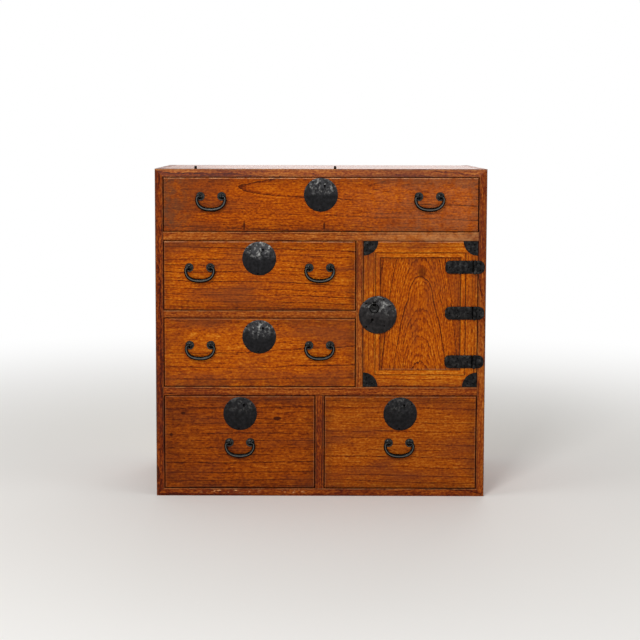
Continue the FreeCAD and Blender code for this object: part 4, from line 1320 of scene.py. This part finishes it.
@dataclass
class DoorPlate:
    """The bigger lock plate of the door: a ringed key hole under a latch slot, a hole, the lock's case.

    The boss, the hole and the nails are placed across and up from the plate's middle. The slot and
    the latch in it are their width, their height and their place from the boss, across and up. The
    rings of the plate and of the boss are how far in from the rim they lie and their height. The
    boss's dimple is its radius, its place up from the boss and the height of its floor, and the
    disc of painted shade behind the slot is its place up and its radius. The case is its left and
    right side, its depth and its height.
    """

    radius: float = 50.0
    thick: float = 3.0
    dome: tuple[Pair, ...] = (
        (0.0, 0.0), (0.0, 0.8), (0.5, 1.35), (1.8, 1.75), (7.0, 2.1), (16.0, 2.5), (30.0, 2.85), (44.0, 3.0),
    )
    boss: Pair = (-9.3, 17.4)
    boss_rise: float = 2.0
    boss_radius: float = 11.4
    boss_rings: tuple[Pair, ...] = (
        (0.0, 0.2), (0.0, 3.9), (0.8, 4.8), (2.0, 5.0), (3.2, 4.6), (4.6, 3.2), (6.5, 2.3), (9.0, 2.5),
        (10.4, 2.6),
    )
    dimple: Triple = (1.6, -1.0, 1.2)
    moat: float = 1.7
    slot: tuple[float, float, float, float] = (9.0, 12.4, 0.0, 12.2)
    slot_depth: float = 20.0
    slot_shade: Pair = (16.5, 5.0)
    latch: tuple[float, float, float, float] = (8.6, 2.6, 0.0, 13.6)
    latch_thick: float = 1.2
    latch_rise: float = 0.9
    hole: tuple[Triple, ...] = ((-14.3, -12.5, 3.5), (-16.0, -16.4, 1.8), (-17.6, -20.2, 1.3))
    case: tuple[float, float, float, float] = (115.5, 150.0, 13.6, 32.0)
    case_ease: float = 0.6
    latch_ease: float = 0.3
    scuff_and_sheen_at: Pair = (14.0, 30.0)
    nail_head: float = 2.1
    nail_foot: float = 0.7
    nail_spots: tuple[Pair, ...] = (
        (-31.0, 30.5), (15.6, 40.5), (32.0, 24.0), (17.5, -28.5), (-30.0, -31.0),
    )

    def finish(self) -> ForgedIron:
        """Choose the plate's own iron, browner than the drawers', scuffed and with a painted sheen above its
        middle.

        Returns:
            The finish.
        """
        low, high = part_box("door_lock_plate")
        middle = ((low.x + high.x) / (2 * MM), (low.z + high.z) / (2 * MM))
        return ForgedIron(
            "forged_plate_door", scuff_and_sheen_centre=(middle[0] + self.scuff_and_sheen_at[0], middle[1] + self.scuff_and_sheen_at[1]),
            scuff_and_sheen_reach=46.0, wear_and_sheen=0.6, black="#1A1818", mottle="#2E2B2B",
        )

    def build(self, iron: Material, soot_and_shade: Material) -> None:
        """Make the plate, its boss, its case, the discs of painted shade in its openings and its nails.

        Args:
            iron: the finish of the boss and the latch.
            soot_and_shade: the finish of the nails and of the painted shade in the openings.
        """
        plate_iron = self.finish().build()
        low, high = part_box("door_lock_plate")
        middle = Vector((high.x / MM - self.radius, 0, (low.z + high.z) / (2 * MM)))
        back = low.y / MM + self.boss_rise + self.thick
        front = Vector((middle.x, back, middle.z))
        boss_x, boss_z = self.boss
        trench = self.boss_radius + self.moat
        plate = disc(self.radius, self.dome, sides=96)
        boss = placed(disc(self.boss_radius, self.boss_rings), (boss_x, boss_z, 0))
        width, height, x, z = self.slot
        slots = [slab((width, height, self.slot_depth), (boss_x + x, boss_z + z, 0)) for _ in (plate, boss)]
        holes = [drill(size, x, z) for x, z, size in self.hole]
        cut(plate, [drill(trench, boss_x, boss_z, 48), slots[0], *holes])
        size, up, start = self.dimple
        cut(boss, [slots[1], drill(size, boss_x, boss_z + up, 20, start)])
        for part in (plate, boss):
            placed(part, front, Way.FRONT)
        left, right, depth, tall = self.case
        case = slab((right - left, depth, tall), ((left + right) / 2, back + depth / 2 - LAP, middle.z))
        bevel_edges(case, self.case_ease, 2)
        width, height, x, z = self.latch
        spot = (front.x + boss_x + x, back - self.latch_rise, front.z + boss_z + z)
        latch = slab((width, self.latch_thick, height), spot)
        bevel_edges(latch, self.latch_ease, 2)
        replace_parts(finished("door_plate", [plate, case], "door", plate_iron), "door_lock_plate")
        finished("door_plate_boss", [boss, latch], "door", iron)
        up, size = self.slot_shade
        # discs of painted shade at the bottoms of the moat round the boss, of the slot and of the key hole
        hole_shades = [hole_shade(size, (front.x + x, back, front.z + z)) for x, z, size in (
            (boss_x, boss_z, trench), (boss_x, boss_z + up, size), *self.hole,
        )]
        Nails(head=self.nail_head).build("door_plate_nails", [
            (middle.x + x, back - self.thick + self.nail_foot, middle.z + z) for x, z in self.nail_spots
        ], "door", soot_and_shade, hole_shades)


@dataclass
class StrapHinges:
    """Three strap hinges: a long leaf on the door, a short one on the case, and a pin.

    A nail is placed across from the pin and up from the hinge's middle.
    """

    width: float = 34.5
    thick: float = 2.0
    strap_reach: float = 77.7
    leaf_reach: float = 26.0
    barrel: float = 4.8
    gap: float = 0.3
    knuckle: float = 12.5
    pin: float = 1.8
    cap: float = 2.7
    cap_edge: float = 2.2
    cap_side: float = 0.4
    cap_rise: float = 1.2
    strap_round: float = 13.0
    leaf_round: float = 15.0
    rolled_in: float = 1.0
    notched_in: float = 0.6
    notch_depth: float = 12.0
    ease: float = 0.6
    barrel_ease: float = 0.5
    strap_nails: tuple[Pair, ...] = ((-66.0, 0.0), (-44.0, 8.0), (-44.0, -8.0), (-17.0, 0.0))
    leaf_nails: tuple[Pair, ...] = ((14.0, 8.5), (14.0, -8.5))

    def leaf(self, near: float, far: float, rounding: float, back: float) -> Object:
        """A flat leaf along X with its far end rounded and its front edges eased.

        Args:
            near: its end at the barrel, mm from the pin.
            far: its rounded end.
            rounding: the radius of the far corners.
            back: the depth of its back face behind the pin.
        Returns:
            The leaf.
        """
        size = (abs(far - near), self.thick, self.width)
        piece = slab(size, ((far + near) / 2, back - self.thick / 2, 0))
        bpy.context.view_layer.objects.active = piece
        tip = far * MM
        select_edges(piece, lambda a, b: abs(a.x - tip) + abs(b.x - tip) < 1e-6 and abs(a.y - b.y) > 1e-4)
        bpy.ops.mesh.bevel(offset=rounding * MM, segments=8)
        bpy.ops.object.mode_set(mode="OBJECT")
        bevel_edges(piece, self.ease, 2, angle=50.0)
        return piece

    def barrel_piece(self, low: float, high: float) -> Object:
        """A length of the barrel, rolled, with its rims eased.

        Args:
            low: its lower end, mm from the hinge's middle.
            high: its upper end.
        Returns:
            The length.
        """
        size, ease = self.barrel, self.barrel_ease
        rings = ((size - ease, low), (size, low + ease), (size, high - ease), (size - ease, high))
        return turned(rings, sides=40)

    def pin_piece(self) -> Object:
        """Turn a pin with a small cap on each end.

        Returns:
            The pin, upright about its middle.
        """
        half = self.width / 2
        end = (
            (self.cap_edge, half + self.cap_rise), (self.cap, half + self.cap_side), (self.cap, half),
            (self.pin, half),
        )
        return turned((*((size, -high) for size, high in end), *reversed(end)), sides=20)

    def build(self, iron: Material, soot_and_shade: Material) -> None:
        """Make the three hinges where the frame has their pins.

        Args:
            iron: their finish.
            soot_and_shade: the finish of their nails.
        """
        joint = next(item for item in frame["joints"] if item["name"] == "door_hinge")
        pivot = Vector(joint["pos_m"]) / MM
        low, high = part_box("hinge_pins")
        half, inner = self.width / 2, self.knuckle / 2
        end = half + self.cap_rise
        heights = (low.z / MM + end, pivot.z, high.z / MM - end)
        near = self.barrel - self.rolled_in
        # the notches end behind the barrel's sides, so that no wood shows through them
        notch = self.barrel - self.notched_in
        strap = self.leaf(-near, -self.strap_reach, self.strap_round, self.barrel + self.gap)
        cut(strap, [
            slab((notch, self.notch_depth, half), (-notch / 2, self.barrel, sign * (inner + half / 2)))
            for sign in (-1, 1)
        ])
        strap_barrel = self.barrel_piece(-inner, inner)
        leaf = self.leaf(near, self.leaf_reach, self.leaf_round, self.barrel)
        size = (notch, self.notch_depth, 2 * (inner + self.gap))
        cut(leaf, [slab(size, (notch / 2, self.barrel, 0))])
        door_parts, case_parts, pins = [], [], []
        for height in heights:
            spot = (pivot.x, pivot.y, height)
            door_parts += [placed(copied(part), spot) for part in (strap, strap_barrel)]
            case_parts.append(placed(copied(leaf), spot))
            for bottom, top in ((-half, -inner - self.gap), (inner + self.gap, half)):
                case_parts.append(placed(self.barrel_piece(bottom, top), spot))
            pins.append(placed(self.pin_piece(), spot))
        for part in (strap, strap_barrel, leaf):
            bpy.data.objects.remove(part)
        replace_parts(finished("door_strap_leaves", door_parts, "door", iron), "door_hinge_leaves")
        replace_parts(finished("case_strap_leaves", case_parts, "case", iron), "case_hinge_leaves")
        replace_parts(finished("strap_hinge_pins", pins, "case", iron), "hinge_pins")
        leaf_face = pivot.y + self.barrel - self.thick
        for name, face, spots, body in (
            ("strap_nails", leaf_face + self.gap, self.strap_nails, "door"),
            ("leaf_nails", leaf_face, self.leaf_nails, "case"),
        ):
            Nails().build(name, [
                (pivot.x + x, face, height + z) for height in heights for x, z in spots
            ], body, soot_and_shade)


@dataclass
class TopStuds:
    """Two small iron studs with rounded heads near the front of the top board.

    The rings of the shank and the head are how far in from the head's rim they lie and their height
    over the board.
    """

    radius: float = 3.5
    height: float = 7.5
    rings: tuple[Pair, ...] = (
        (1.9, -15.0), (1.9, 0.05), (0.4, 0.05), (0.0, 0.6), (0.0, 5.0), (0.5, 6.4), (1.6, 7.2), (2.7, 7.5),
    )

    def build(self, iron: Material) -> None:
        """Drive the studs where the frame has them.

        Args:
            iron: their finish.
        """
        low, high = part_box("top_studs")
        top = high.z / MM - self.height
        middle_y = (low.y + high.y) / (2 * MM)
        pattern = disc(self.radius, self.rings, sides=24)
        studs = [
            placed(copied(pattern), (x, middle_y, top))
            for x in (low.x / MM + self.radius, high.x / MM - self.radius)
        ]
        bpy.data.objects.remove(pattern)
        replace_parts(finished("stud_heads", studs, "case", iron), "top_studs")


@dataclass
class CornerPlates:
    """The four corner plates of the door, whose shape the frame has, and three nails in each.

    A nail is placed in from the corner, across and up or down.
    """

    nail_spots: tuple[Pair, ...] = ((8.0, 24.0), (24.0, 8.0), (9.0, 9.0))

    def build(self, soot_and_shade: Material) -> None:
        """Drive the nails of the plates.

        Args:
            soot_and_shade: their finish.
        """
        outline = Outline.of("door_frame")
        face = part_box("door_corner_plates")[0].y / MM
        Nails().build("corner_nails", [
            (x + step_x * a, face, z + step_z * b)
            for x, step_x in ((outline.left, 1), (outline.right, -1))
            for z, step_z in ((outline.low, 1), (outline.high, -1))
            for a, b in self.nail_spots
        ], "door", soot_and_shade)


@dataclass
class Ironwork:
    """All the iron of the chest, from the drawers' handles to the nails of the door's corners.

    plate_wear_and_sheen says how bright the scuffs and the painted sheen on each drawer's lock plate are.
    """

    plate_wear_and_sheen: tuple[float, ...] = (0.6, 1.0, 0.75, 0.15, 0.18)

    def build(self) -> None:
        """Forge every iron piece."""
        iron, rub_and_highlight, domed, soot_and_shade, bright = (
            finish.build() for finish in (BLACKENED_IRON, BAIL_IRON, ROSETTE_IRON, NAIL_IRON, BOLT_IRON)
        )
        bail, mount = Bail().build(), HandleMount()
        rosette, pin = mount.build_rosette(), mount.build_pin()
        for drawer, wear_and_sheen in zip(Fronts().sawings, self.plate_wear_and_sheen):
            DrawerIron(drawer, wear_and_sheen).build(rub_and_highlight, domed, soot_and_shade, bail, rosette, pin)
            dress(f"{drawer}_lock_bolt", bright)
        for part in (bail, rosette, pin):
            bpy.data.objects.remove(part)
        DoorPlate().build(iron, soot_and_shade)
        StrapHinges().build(iron, soot_and_shade)
        TopStuds().build(iron)
        dress("door_corner_plates", iron)
        dress("door_lock_bolt", bright)
        CornerPlates().build(soot_and_shade)


# Woodwork

def in_stiles(tree: NodeTree, spot: Node) -> Node:
    """Tell the upright members of the door frame from its rails, up to their mitres.

    Args:
        tree: the material's node tree.
        spot: mm from the chest's origin.
    Returns:
        One on the upright members.
    """
    low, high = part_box("door_frame")
    across, _, up = add(tree, "SeparateXYZ", (spot,)).outputs
    gaps = []
    for place, start, end in ((across, low.x, high.x), (up, low.z, high.z)):
        off = add(tree, "Math", (place, (start + end) / (2 * MM)), operation="SUBTRACT")
        off = add(tree, "Math", (off,), operation="ABSOLUTE")
        gaps.append(add(tree, "Math", ((end - start) / (2 * MM), off), operation="SUBTRACT"))
    return add(tree, "Math", tuple(gaps), operation="LESS_THAN")


def behind_back(name: str, thick: float = 9.5) -> Callable[[NodeTree, Node], Node]:
    """Tell the back board of a drawer, which stands behind its sides, from them.

    Args:
        name: the node of the drawer's box.
        thick: the back board's thickness, mm.
    Returns:
        A test that gives one on the drawer's back.
    """
    def region(tree: NodeTree, spot: Node) -> Node:
        """One on the drawer's back."""
        depth = add(tree, "SeparateXYZ", (spot,)).outputs[1]
        return add(tree, "Math", (depth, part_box(name)[1].y / MM - thick), operation="GREATER_THAN")
    return region


@dataclass
class Fronts:
    """The lacquered fronts: five drawers and the door, each from its own board.

    Each drawer has its sawing and its tone. A stain, or a patch of rub and painted sheen, is full at
    its first place along X, fades out at its second, and has a share.
    """

    sawings: dict[str, tuple[Sawing, float]] = field(default_factory=lambda: {
        "top_drawer": (Sawing(
            Grain.FRONT_LEVEL, heart=(47.0, 60.0), drift=(0.0, 0.037), ring=30.0, wander=5.0, ripple=0.5,
            shift=3.1, phase=0.205, uneven=0.5, lines=0.32, knots=(
                Knot(-201.0, -57.0, 7.0, 27.0, dark=1.0), Knot(9.0, -57.0, 7.0, 24.0, dark=1.0),
            ),
        ), -0.1),
        "upper_drawer": (Sawing(
            Grain.FRONT_LEVEL, heart=(-210.0, 60.0), drift=(0.02, 0.0), ring=17.0, wander=9.0, ripple=0.9,
            shift=7.7,
        ), 0.02),
        "middle_drawer": (Sawing(
            Grain.FRONT_LEVEL, heart=(60.0, 75.0), drift=(0.0, -0.02), ring=26.0, wander=9.0, ripple=1.2,
            shift=12.3, phase=0.74, uneven=0.5,
        ), 0.0),
        "bottom_left_drawer": (Sawing(
            Grain.FRONT_LEVEL, heart=(-330.0, 40.0), drift=(-0.01, 0.0), ring=21.0, wander=7.0, ripple=0.8,
            shift=18.9, lines=0.34, knots=(
                Knot(99.0, 63.0, 22.0, 11.0, dark=1.4), Knot(-150.0, 77.0, 14.0, 9.0, dark=1.1),
                Knot(-182.0, 19.0, 10.0, 10.0, dark=1.0),
            ),
        ), -0.04),
        "bottom_right_drawer": (Sawing(
            Grain.FRONT_LEVEL, heart=(-260.0, 90.0), drift=(0.015, 0.0), ring=18.0, wander=9.0, ripple=1.4,
            shift=24.4, lines=0.34,
        ), 0.12),
    })
    # drawers that take the darker lacquer, which is painted shade
    shaded_low: tuple[str, ...] = ("bottom_left_drawer", "bottom_right_drawer")
    panel: Sawing = Sawing(
        Grain.FRONT_UPRIGHT, heart=(0.0, 92.0), drift=(0.0, -0.12), ring=22.0, wander=4.0, ripple=1.1,
        shift=31.3, phase=0.89, uneven=0.5, lines=0.5, fine_lines=0.3, knots=(
            Knot(110.0, 4.0, 36.0, 25.0, swell=0.0, dark=0.7),
            Knot(66.0, 2.0, 46.0, 40.0, swell=-0.12, dark=0.0),
        ),
    )
    rail: Sawing = Sawing(
        Grain.FRONT_LEVEL, heart=(-150.0, 30.0), ring=15.0, wander=7.0, ripple=0.8, shift=36.4,
    )
    stile: Sawing = Sawing(
        Grain.FRONT_UPRIGHT, heart=(-260.0, 30.0), ring=12.0, wander=5.0, ripple=0.8, shift=39.9,
    )
    frame_tone: float = 0.15
    stains: dict[str, tuple[Triple, ...]] = field(default_factory=lambda: {
        "top_drawer": ((-414.0, -270.0, 0.9),),
        "middle_drawer": ((-414.0, -300.0, 0.25),),
        "bottom_left_drawer": ((-414.0, -260.0, 0.5),),
    })
    # patches of rub and painted sheen where the lacquer catches the light
    rubs_and_sheen: dict[str, tuple[Triple, ...]] = field(default_factory=lambda: {
        "top_drawer": ((360.0, -60.0, 0.12), (-414.0, -300.0, 0.08)),
    })
    # how strong the top edge's light line of rub and painted highlight is
    rubbed_and_lit_tops: dict[str, float] = field(default_factory=lambda: {"top_drawer": 0.85, "upper_drawer": 0.7})
    front_thick: float = 19.0
    skin: float = 0.3
    # the gap walls are painted dark as shade from gap_shade_start behind the face
    gap_shade_start: float = 1.3
    frame_width: float = 44.0
    frame_flat: float = 31.0
    panel_sunk: float = 2.6

    def build(self) -> None:
        """Finish each drawer front, the door's frame and its panel."""
        for name, (sawing, tone) in self.sawings.items():
            node = f"{name}_front"
            outline = Outline.of(node)
            dress(node, Wood(
                f"amber_lacquer_{name}", node, sawing,
                # the lowest drawers take the darker lacquer of painted shade
                SHADED_LOW_LACQUER if name in self.shaded_low else AMBER_LACQUER, outline,
                Edging(top=self.rubbed_and_lit_tops.get(name, Edging.top)),
                Bare(outline.face + self.front_thick - self.skin, gap_shade_from=outline.face + self.gap_shade_start),
                tone=tone, stains=self.stains.get(name, ()), rubs_and_sheen=self.rubs_and_sheen.get(name, ()),
            ).build())
        outline = Outline.of("door_frame")
        inset = self.frame_width
        panel = Outline(
            outline.left + inset, outline.right - inset, outline.low + inset, outline.high - inset,
            outline.face + self.panel_sunk,
        )
        dress("door_frame", Wood(
            "amber_lacquer_door_frame", "door_frame", self.rail, AMBER_LACQUER, outline,
            # the grooves and the edges get dark lines of painted shade
            Edging(grooves=(self.frame_flat, inset), top=0.6, side=0.1, foot=0.0, grime_and_shade=0.3),
            second=(self.stile, in_stiles), tone=self.frame_tone,
        ).build())
        dress("door_panel", Wood(
            "amber_lacquer_door_panel", "door_panel", self.panel, AMBER_LACQUER, panel,
            # the panel's dark line where it sinks under the frame: painted shade
            Edging(dark_width=1.4, top=0.0, side=0.0, foot=0.3, grime_and_shade_width=20.0, grime_and_shade=0.35),
        ).build())


@dataclass
class Carcass:
    """The case: lacquered outside and on its front edges, bare inside.

    Each board has its sawing and its tone. Chips lie between two places along X.
    """

    boards: dict[str, tuple[Sawing, float]] = field(default_factory=lambda: {
        "left_side": (Sawing(Grain.SIDE_UPRIGHT, (30.0, -95.0), (0.0, 0.06), 14.0, 16.0, 1.4, 41.0), -0.16),
        "right_side": (Sawing(Grain.SIDE_UPRIGHT, (-50.0, 90.0), (0.0, 0.05), 14.0, 16.0, 1.4, 47.0), 0.02),
        "top_board": (Sawing(Grain.FLAT_LEVEL, (20.0, -110.0), (0.0, 0.06), 15.0, 16.0, 1.4, 52.0), 0.13),
        "bottom_board": (
            Sawing(Grain.FLAT_LEVEL, (-60.0, 80.0), (0.0, 0.05), 14.0, 14.0, 1.4, 59.0), -0.08,
        ),
        "upper_shelf": (Sawing(Grain.FRONT_LEVEL, (-120.0, 60.0), (0.005, 0.0), 9.0, 5.0, 0.8, 63.0), 0.12),
        "middle_shelf": (
            Sawing(Grain.FRONT_LEVEL, (-120.0, 40.0), (-0.008, 0.0), 9.0, 5.0, 0.8, 68.0), 0.04,
        ),
        "lower_shelf": (Sawing(Grain.FRONT_LEVEL, (150.0, 40.0), (0.006, 0.0), 9.0, 5.0, 0.8, 71.0), 0.0),
        "upper_divider": (
            Sawing(Grain.FRONT_UPRIGHT, (-130.0, 60.0), (0.004, 0.0), 9.0, 4.0, 0.8, 76.0), 0.12,
        ),
        "lower_divider": (
            Sawing(Grain.FRONT_UPRIGHT, (140.0, 60.0), (-0.004, 0.0), 9.0, 4.0, 0.8, 82.0), -0.12,
        ),
    })
    outer: tuple[str, ...] = ("left_side", "right_side", "top_board", "bottom_board")
    chips: tuple[Pair, ...] = ((-330.0, -150.0), (-110.0, -28.0))
    # a patch of rub and painted sheen on the upper rail
    rubs_and_sheen: tuple[Triple, ...] = ((340.0, -20.0, 0.4),)
    # a dark line of painted shade along the gaps and a light line of rub and painted highlight on top
    edging: Edging = Edging(
        dark_width=1.0, dark=0.6, rub_and_highlight_at=2.4, top=0.4, side=0.1, foot=0.0, grime_and_shade_width=9.0, grime_and_shade=0.45,
    )
    board: float = 21.0
    tenon: float = 5.0
    skin: float = 0.2
    # the gap walls are painted dark as shade from gap_shade_start to gap_shade_depth behind the face
    gap_shade_start: float = 0.8
    gap_shade_depth: float = 28.0

    def build(self) -> None:
        """Finish each board of the case."""
        low, high = (corner / MM for corner in (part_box("left_side")[0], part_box("right_side")[1]))
        inner = self.board - self.skin
        for node, (sawing, tone) in self.boards.items():
            limits = (high.x - inner, inner, high.z - inner) if node in self.outer else ()
            dress(node, Wood(
                f"red_lacquer_{node}", node, sawing, TOP_LACQUER if node == "top_board" else RED_LACQUER,
                self.outline(node), self.edging,
                Bare(low.y + self.gap_shade_depth, *limits, gap_shade_from=low.y + self.gap_shade_start), tone=tone,
                chips=self.chips if node == "bottom_board" else (),
                rubs_and_sheen=self.rubs_and_sheen if node == "upper_shelf" else (),
            ).build())

    def outline(self, node: str) -> Outline:
        """Find the front edge of a board as it shows, without its tenons and fingers.

        Args:
            node: the board.
        Returns:
            The outline of its front edge.
        """
        own, case = Outline.of(node), Outline.of("top_board")
        if "shelf" not in node:
            return own
        inset = self.board - self.tenon
        return replace(own, left=max(own.left, case.left + inset), right=min(own.right, case.right - inset))


@dataclass
class Interior:
    """What stays bare: the drawers' boxes and bottoms, the back, the shelf and the stops.

    The wood of each next drawer comes from another part of the log, by next_shift along it, and its
    sides lie further from the heart by next_heart, mm.
    """

    back: Sawing = Sawing(Grain.FRONT_UPRIGHT, (40.0, 160.0), (0.0, 0.04), 13.0, 14.0, 1.0, 91.0)
    shelf: Sawing = Sawing(Grain.FLAT_LEVEL, (60.0, -90.0), (0.0, 0.04), 11.0, 12.0, 1.0, 95.0)
    stops: Sawing = Sawing(Grain.FRONT_LEVEL, (60.0, 30.0), (0.0, 0.0), 9.0, 5.0, 0.6, 99.0)
    sides: Sawing = Sawing(Grain.SIDE_DEEP, (40.0, -70.0), (0.0, 0.05), 10.0, 9.0, 0.9, 103.0)
    rear: Sawing = Sawing(Grain.FRONT_LEVEL, (30.0, 80.0), (0.0, 0.04), 10.0, 9.0, 0.9, 143.0)
    bottom: Sawing = Sawing(Grain.FLAT_LEVEL, (50.0, -120.0), (0.0, 0.05), 12.0, 14.0, 1.0, 183.0)
    planks: int = 5
    next_shift: float = 7.0
    next_heart: float = 9.0

    def build(self) -> None:
        """Finish each bare node."""
        low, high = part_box("back_boards")
        back = replace(self.back, plank=(high.x - low.x) / MM / self.planks)
        for node, sawing in (
            ("back_boards", back), ("cupboard_shelf", self.shelf), ("drawer_stops", self.stops),
        ):
            dress(node, Wood(f"bare_wood_{node}", node, sawing, BARE_WOOD).build())
        for step, drawer in enumerate(Fronts().sawings):
            sides, rear, bottom = (
                replace(sawing, shift=sawing.shift + self.next_shift * step)
                for sawing in (self.sides, self.rear, self.bottom)
            )
            sides = replace(sides, heart=(sides.heart[0] + self.next_heart * step, sides.heart[1]))
            box, floor = f"{drawer}_box", f"{drawer}_bottom"
            second = (rear, behind_back(box))
            dress(box, Wood(f"bare_wood_{box}", box, sides, BARE_WOOD, second=second).build())
            dress(floor, Wood(f"bare_wood_{floor}", floor, bottom, BARE_WOOD).build())


# Stage

@dataclass
class Stage:
    """A pale floor that fades into white, soft studio lamps and the camera of the photograph.

    The floor fades between two distances, m. A lamp is its name, place, size, m, and power, W.
    """

    camera_spot: Triple = (-50.3, -3866.8, 963.3)
    yaw: float = -0.0041
    pitch: float = -0.0824
    roll: float = 0.0015
    focal_px: float = 1395.5
    optical_centre: Pair = (295.9, 248.3)
    floor_radius: float = 9.0
    floor_fade: Pair = (0.8, 3.0)
    surround: float = 0.42
    aim: Triple = (0.0, 0.0, 0.4)
    lamps: tuple[tuple[str, Triple, float, float], ...] = (
        ("front_lamp", (-1.0, -3.2, 2.9), 0.9, 62.0),
        ("left_lamp", (-3.4, -1.4, 1.8), 2.0, 30.0),
        ("right_lamp", (3.4, -1.8, 1.6), 2.0, 22.0),
        ("back_lamp", (0.6, 3.4, 2.8), 2.6, 36.0),
    )

    def build_camera(self) -> None:
        """Set the camera, with its lens shifted as the photograph's framing needs."""
        forward = Vector((
            math.sin(self.yaw) * math.cos(self.pitch), math.cos(self.yaw) * math.cos(self.pitch),
            math.sin(self.pitch),
        ))
        data = bpy.data.cameras.new("photo_camera")
        data.lens = self.focal_px / PHOTO_WIDTH * SENSOR_MM
        data.sensor_width = SENSOR_MM
        middle = PHOTO_WIDTH / 2
        data.shift_x = (middle - self.optical_centre[0]) / PHOTO_WIDTH
        data.shift_y = (self.optical_centre[1] - middle) / PHOTO_WIDTH
        data.clip_start = 0.05
        data.clip_end = 60.0
        camera = bpy.data.objects.new("photo_camera", data)
        bpy.context.scene.collection.objects.link(camera)
        camera.location = Vector(self.camera_spot) * MM
        camera.rotation_mode = "QUATERNION"
        aim = forward.to_track_quat("-Z", "Y")
        camera.rotation_quaternion = aim @ Quaternion((0, 0, 1), self.roll)
        bpy.context.scene.camera = camera

    def build_floor(self) -> None:
        """Lay a matt pale disc, whose far part looks as white as the backdrop."""
        deselect()
        bpy.ops.mesh.primitive_circle_add(vertices=96, radius=self.floor_radius, fill_type="NGON")
        floor = bpy.context.object
        floor.name = "floor"
        made, tree, output = new_material("matt_pale_floor")
        spot = add(tree, "TexCoord").outputs["Object"]
        start, end = self.floor_fade
        fade = add(tree, "MapRange", {
            "Value": add(tree, "VectorMath", (spot,), operation="LENGTH").outputs["Value"],
            "From Min": start, "From Max": end,
        }, interpolation_type="SMOOTHSTEP")
        near = add(tree, "BsdfPrincipled", {"Base Color": linear("#ECEAE6"), "Roughness": 0.85})
        far = add(tree, "Emission", {"Color": WHITE, "Strength": 1.0})
        white = joined(tree, "MULTIPLY", fade, self.seen_rays(tree))
        surface = add(tree, "MixShader", (white, near, far))
        tree.links.new(surface.outputs[0], output.inputs[0])
        floor.data.materials.append(made)

    def seen_rays(self, tree: NodeTree) -> Node:
        """Tell the rays from the camera and in mirrors and glass from those that only light.

        Args:
            tree: the node tree.
        Returns:
            One for the rays that see.
        """
        path = add(tree, "LightPath").outputs
        kinds = ("Is Camera Ray", "Is Glossy Ray", "Is Transmission Ray")
        return joined(tree, "MAXIMUM", *(path[kind] for kind in kinds))

    def build_light(self) -> None:
        """Hang a broad lamp over the front, one each side, and a white surround."""
        world = bpy.data.worlds.new("white_surround")
        bpy.context.scene.world = world
        world.use_nodes = True
        tree = world.node_tree
        tree.nodes.clear()
        strength = add(tree, "Mix", {0: self.seen_rays(tree), 2: self.surround, 3: 1.0})
        surround = add(tree, "Background", {"Color": WHITE, "Strength": strength})
        tree.links.new(surround.outputs[0], add(tree, "OutputWorld").inputs[0])
        for name, spot, size, watts in self.lamps:
            data = bpy.data.lights.new(name, "AREA")
            data.size = size
            data.energy = watts
            lamp = bpy.data.objects.new(name, data)
            bpy.context.scene.collection.objects.link(lamp)
            lamp.location = spot
            lamp.rotation_euler = (Vector(self.aim) - Vector(spot)).to_track_quat("-Z", "Y").to_euler()

    def build(self) -> None:
        """Set the camera, the floor and the light."""
        self.build_camera()
        self.build_floor()
        self.build_light()
        bpy.context.scene.view_settings.view_transform = "Standard"


def main() -> None:
    """Build the chest's finish piece by piece, then the stage."""
    logging.basicConfig(level=logging.INFO, format="%(message)s")
    Fronts().build()
    Carcass().build()
    Interior().build()
    Ironwork().build()
    Stage().build()


if __name__ == "__main__":
    main()
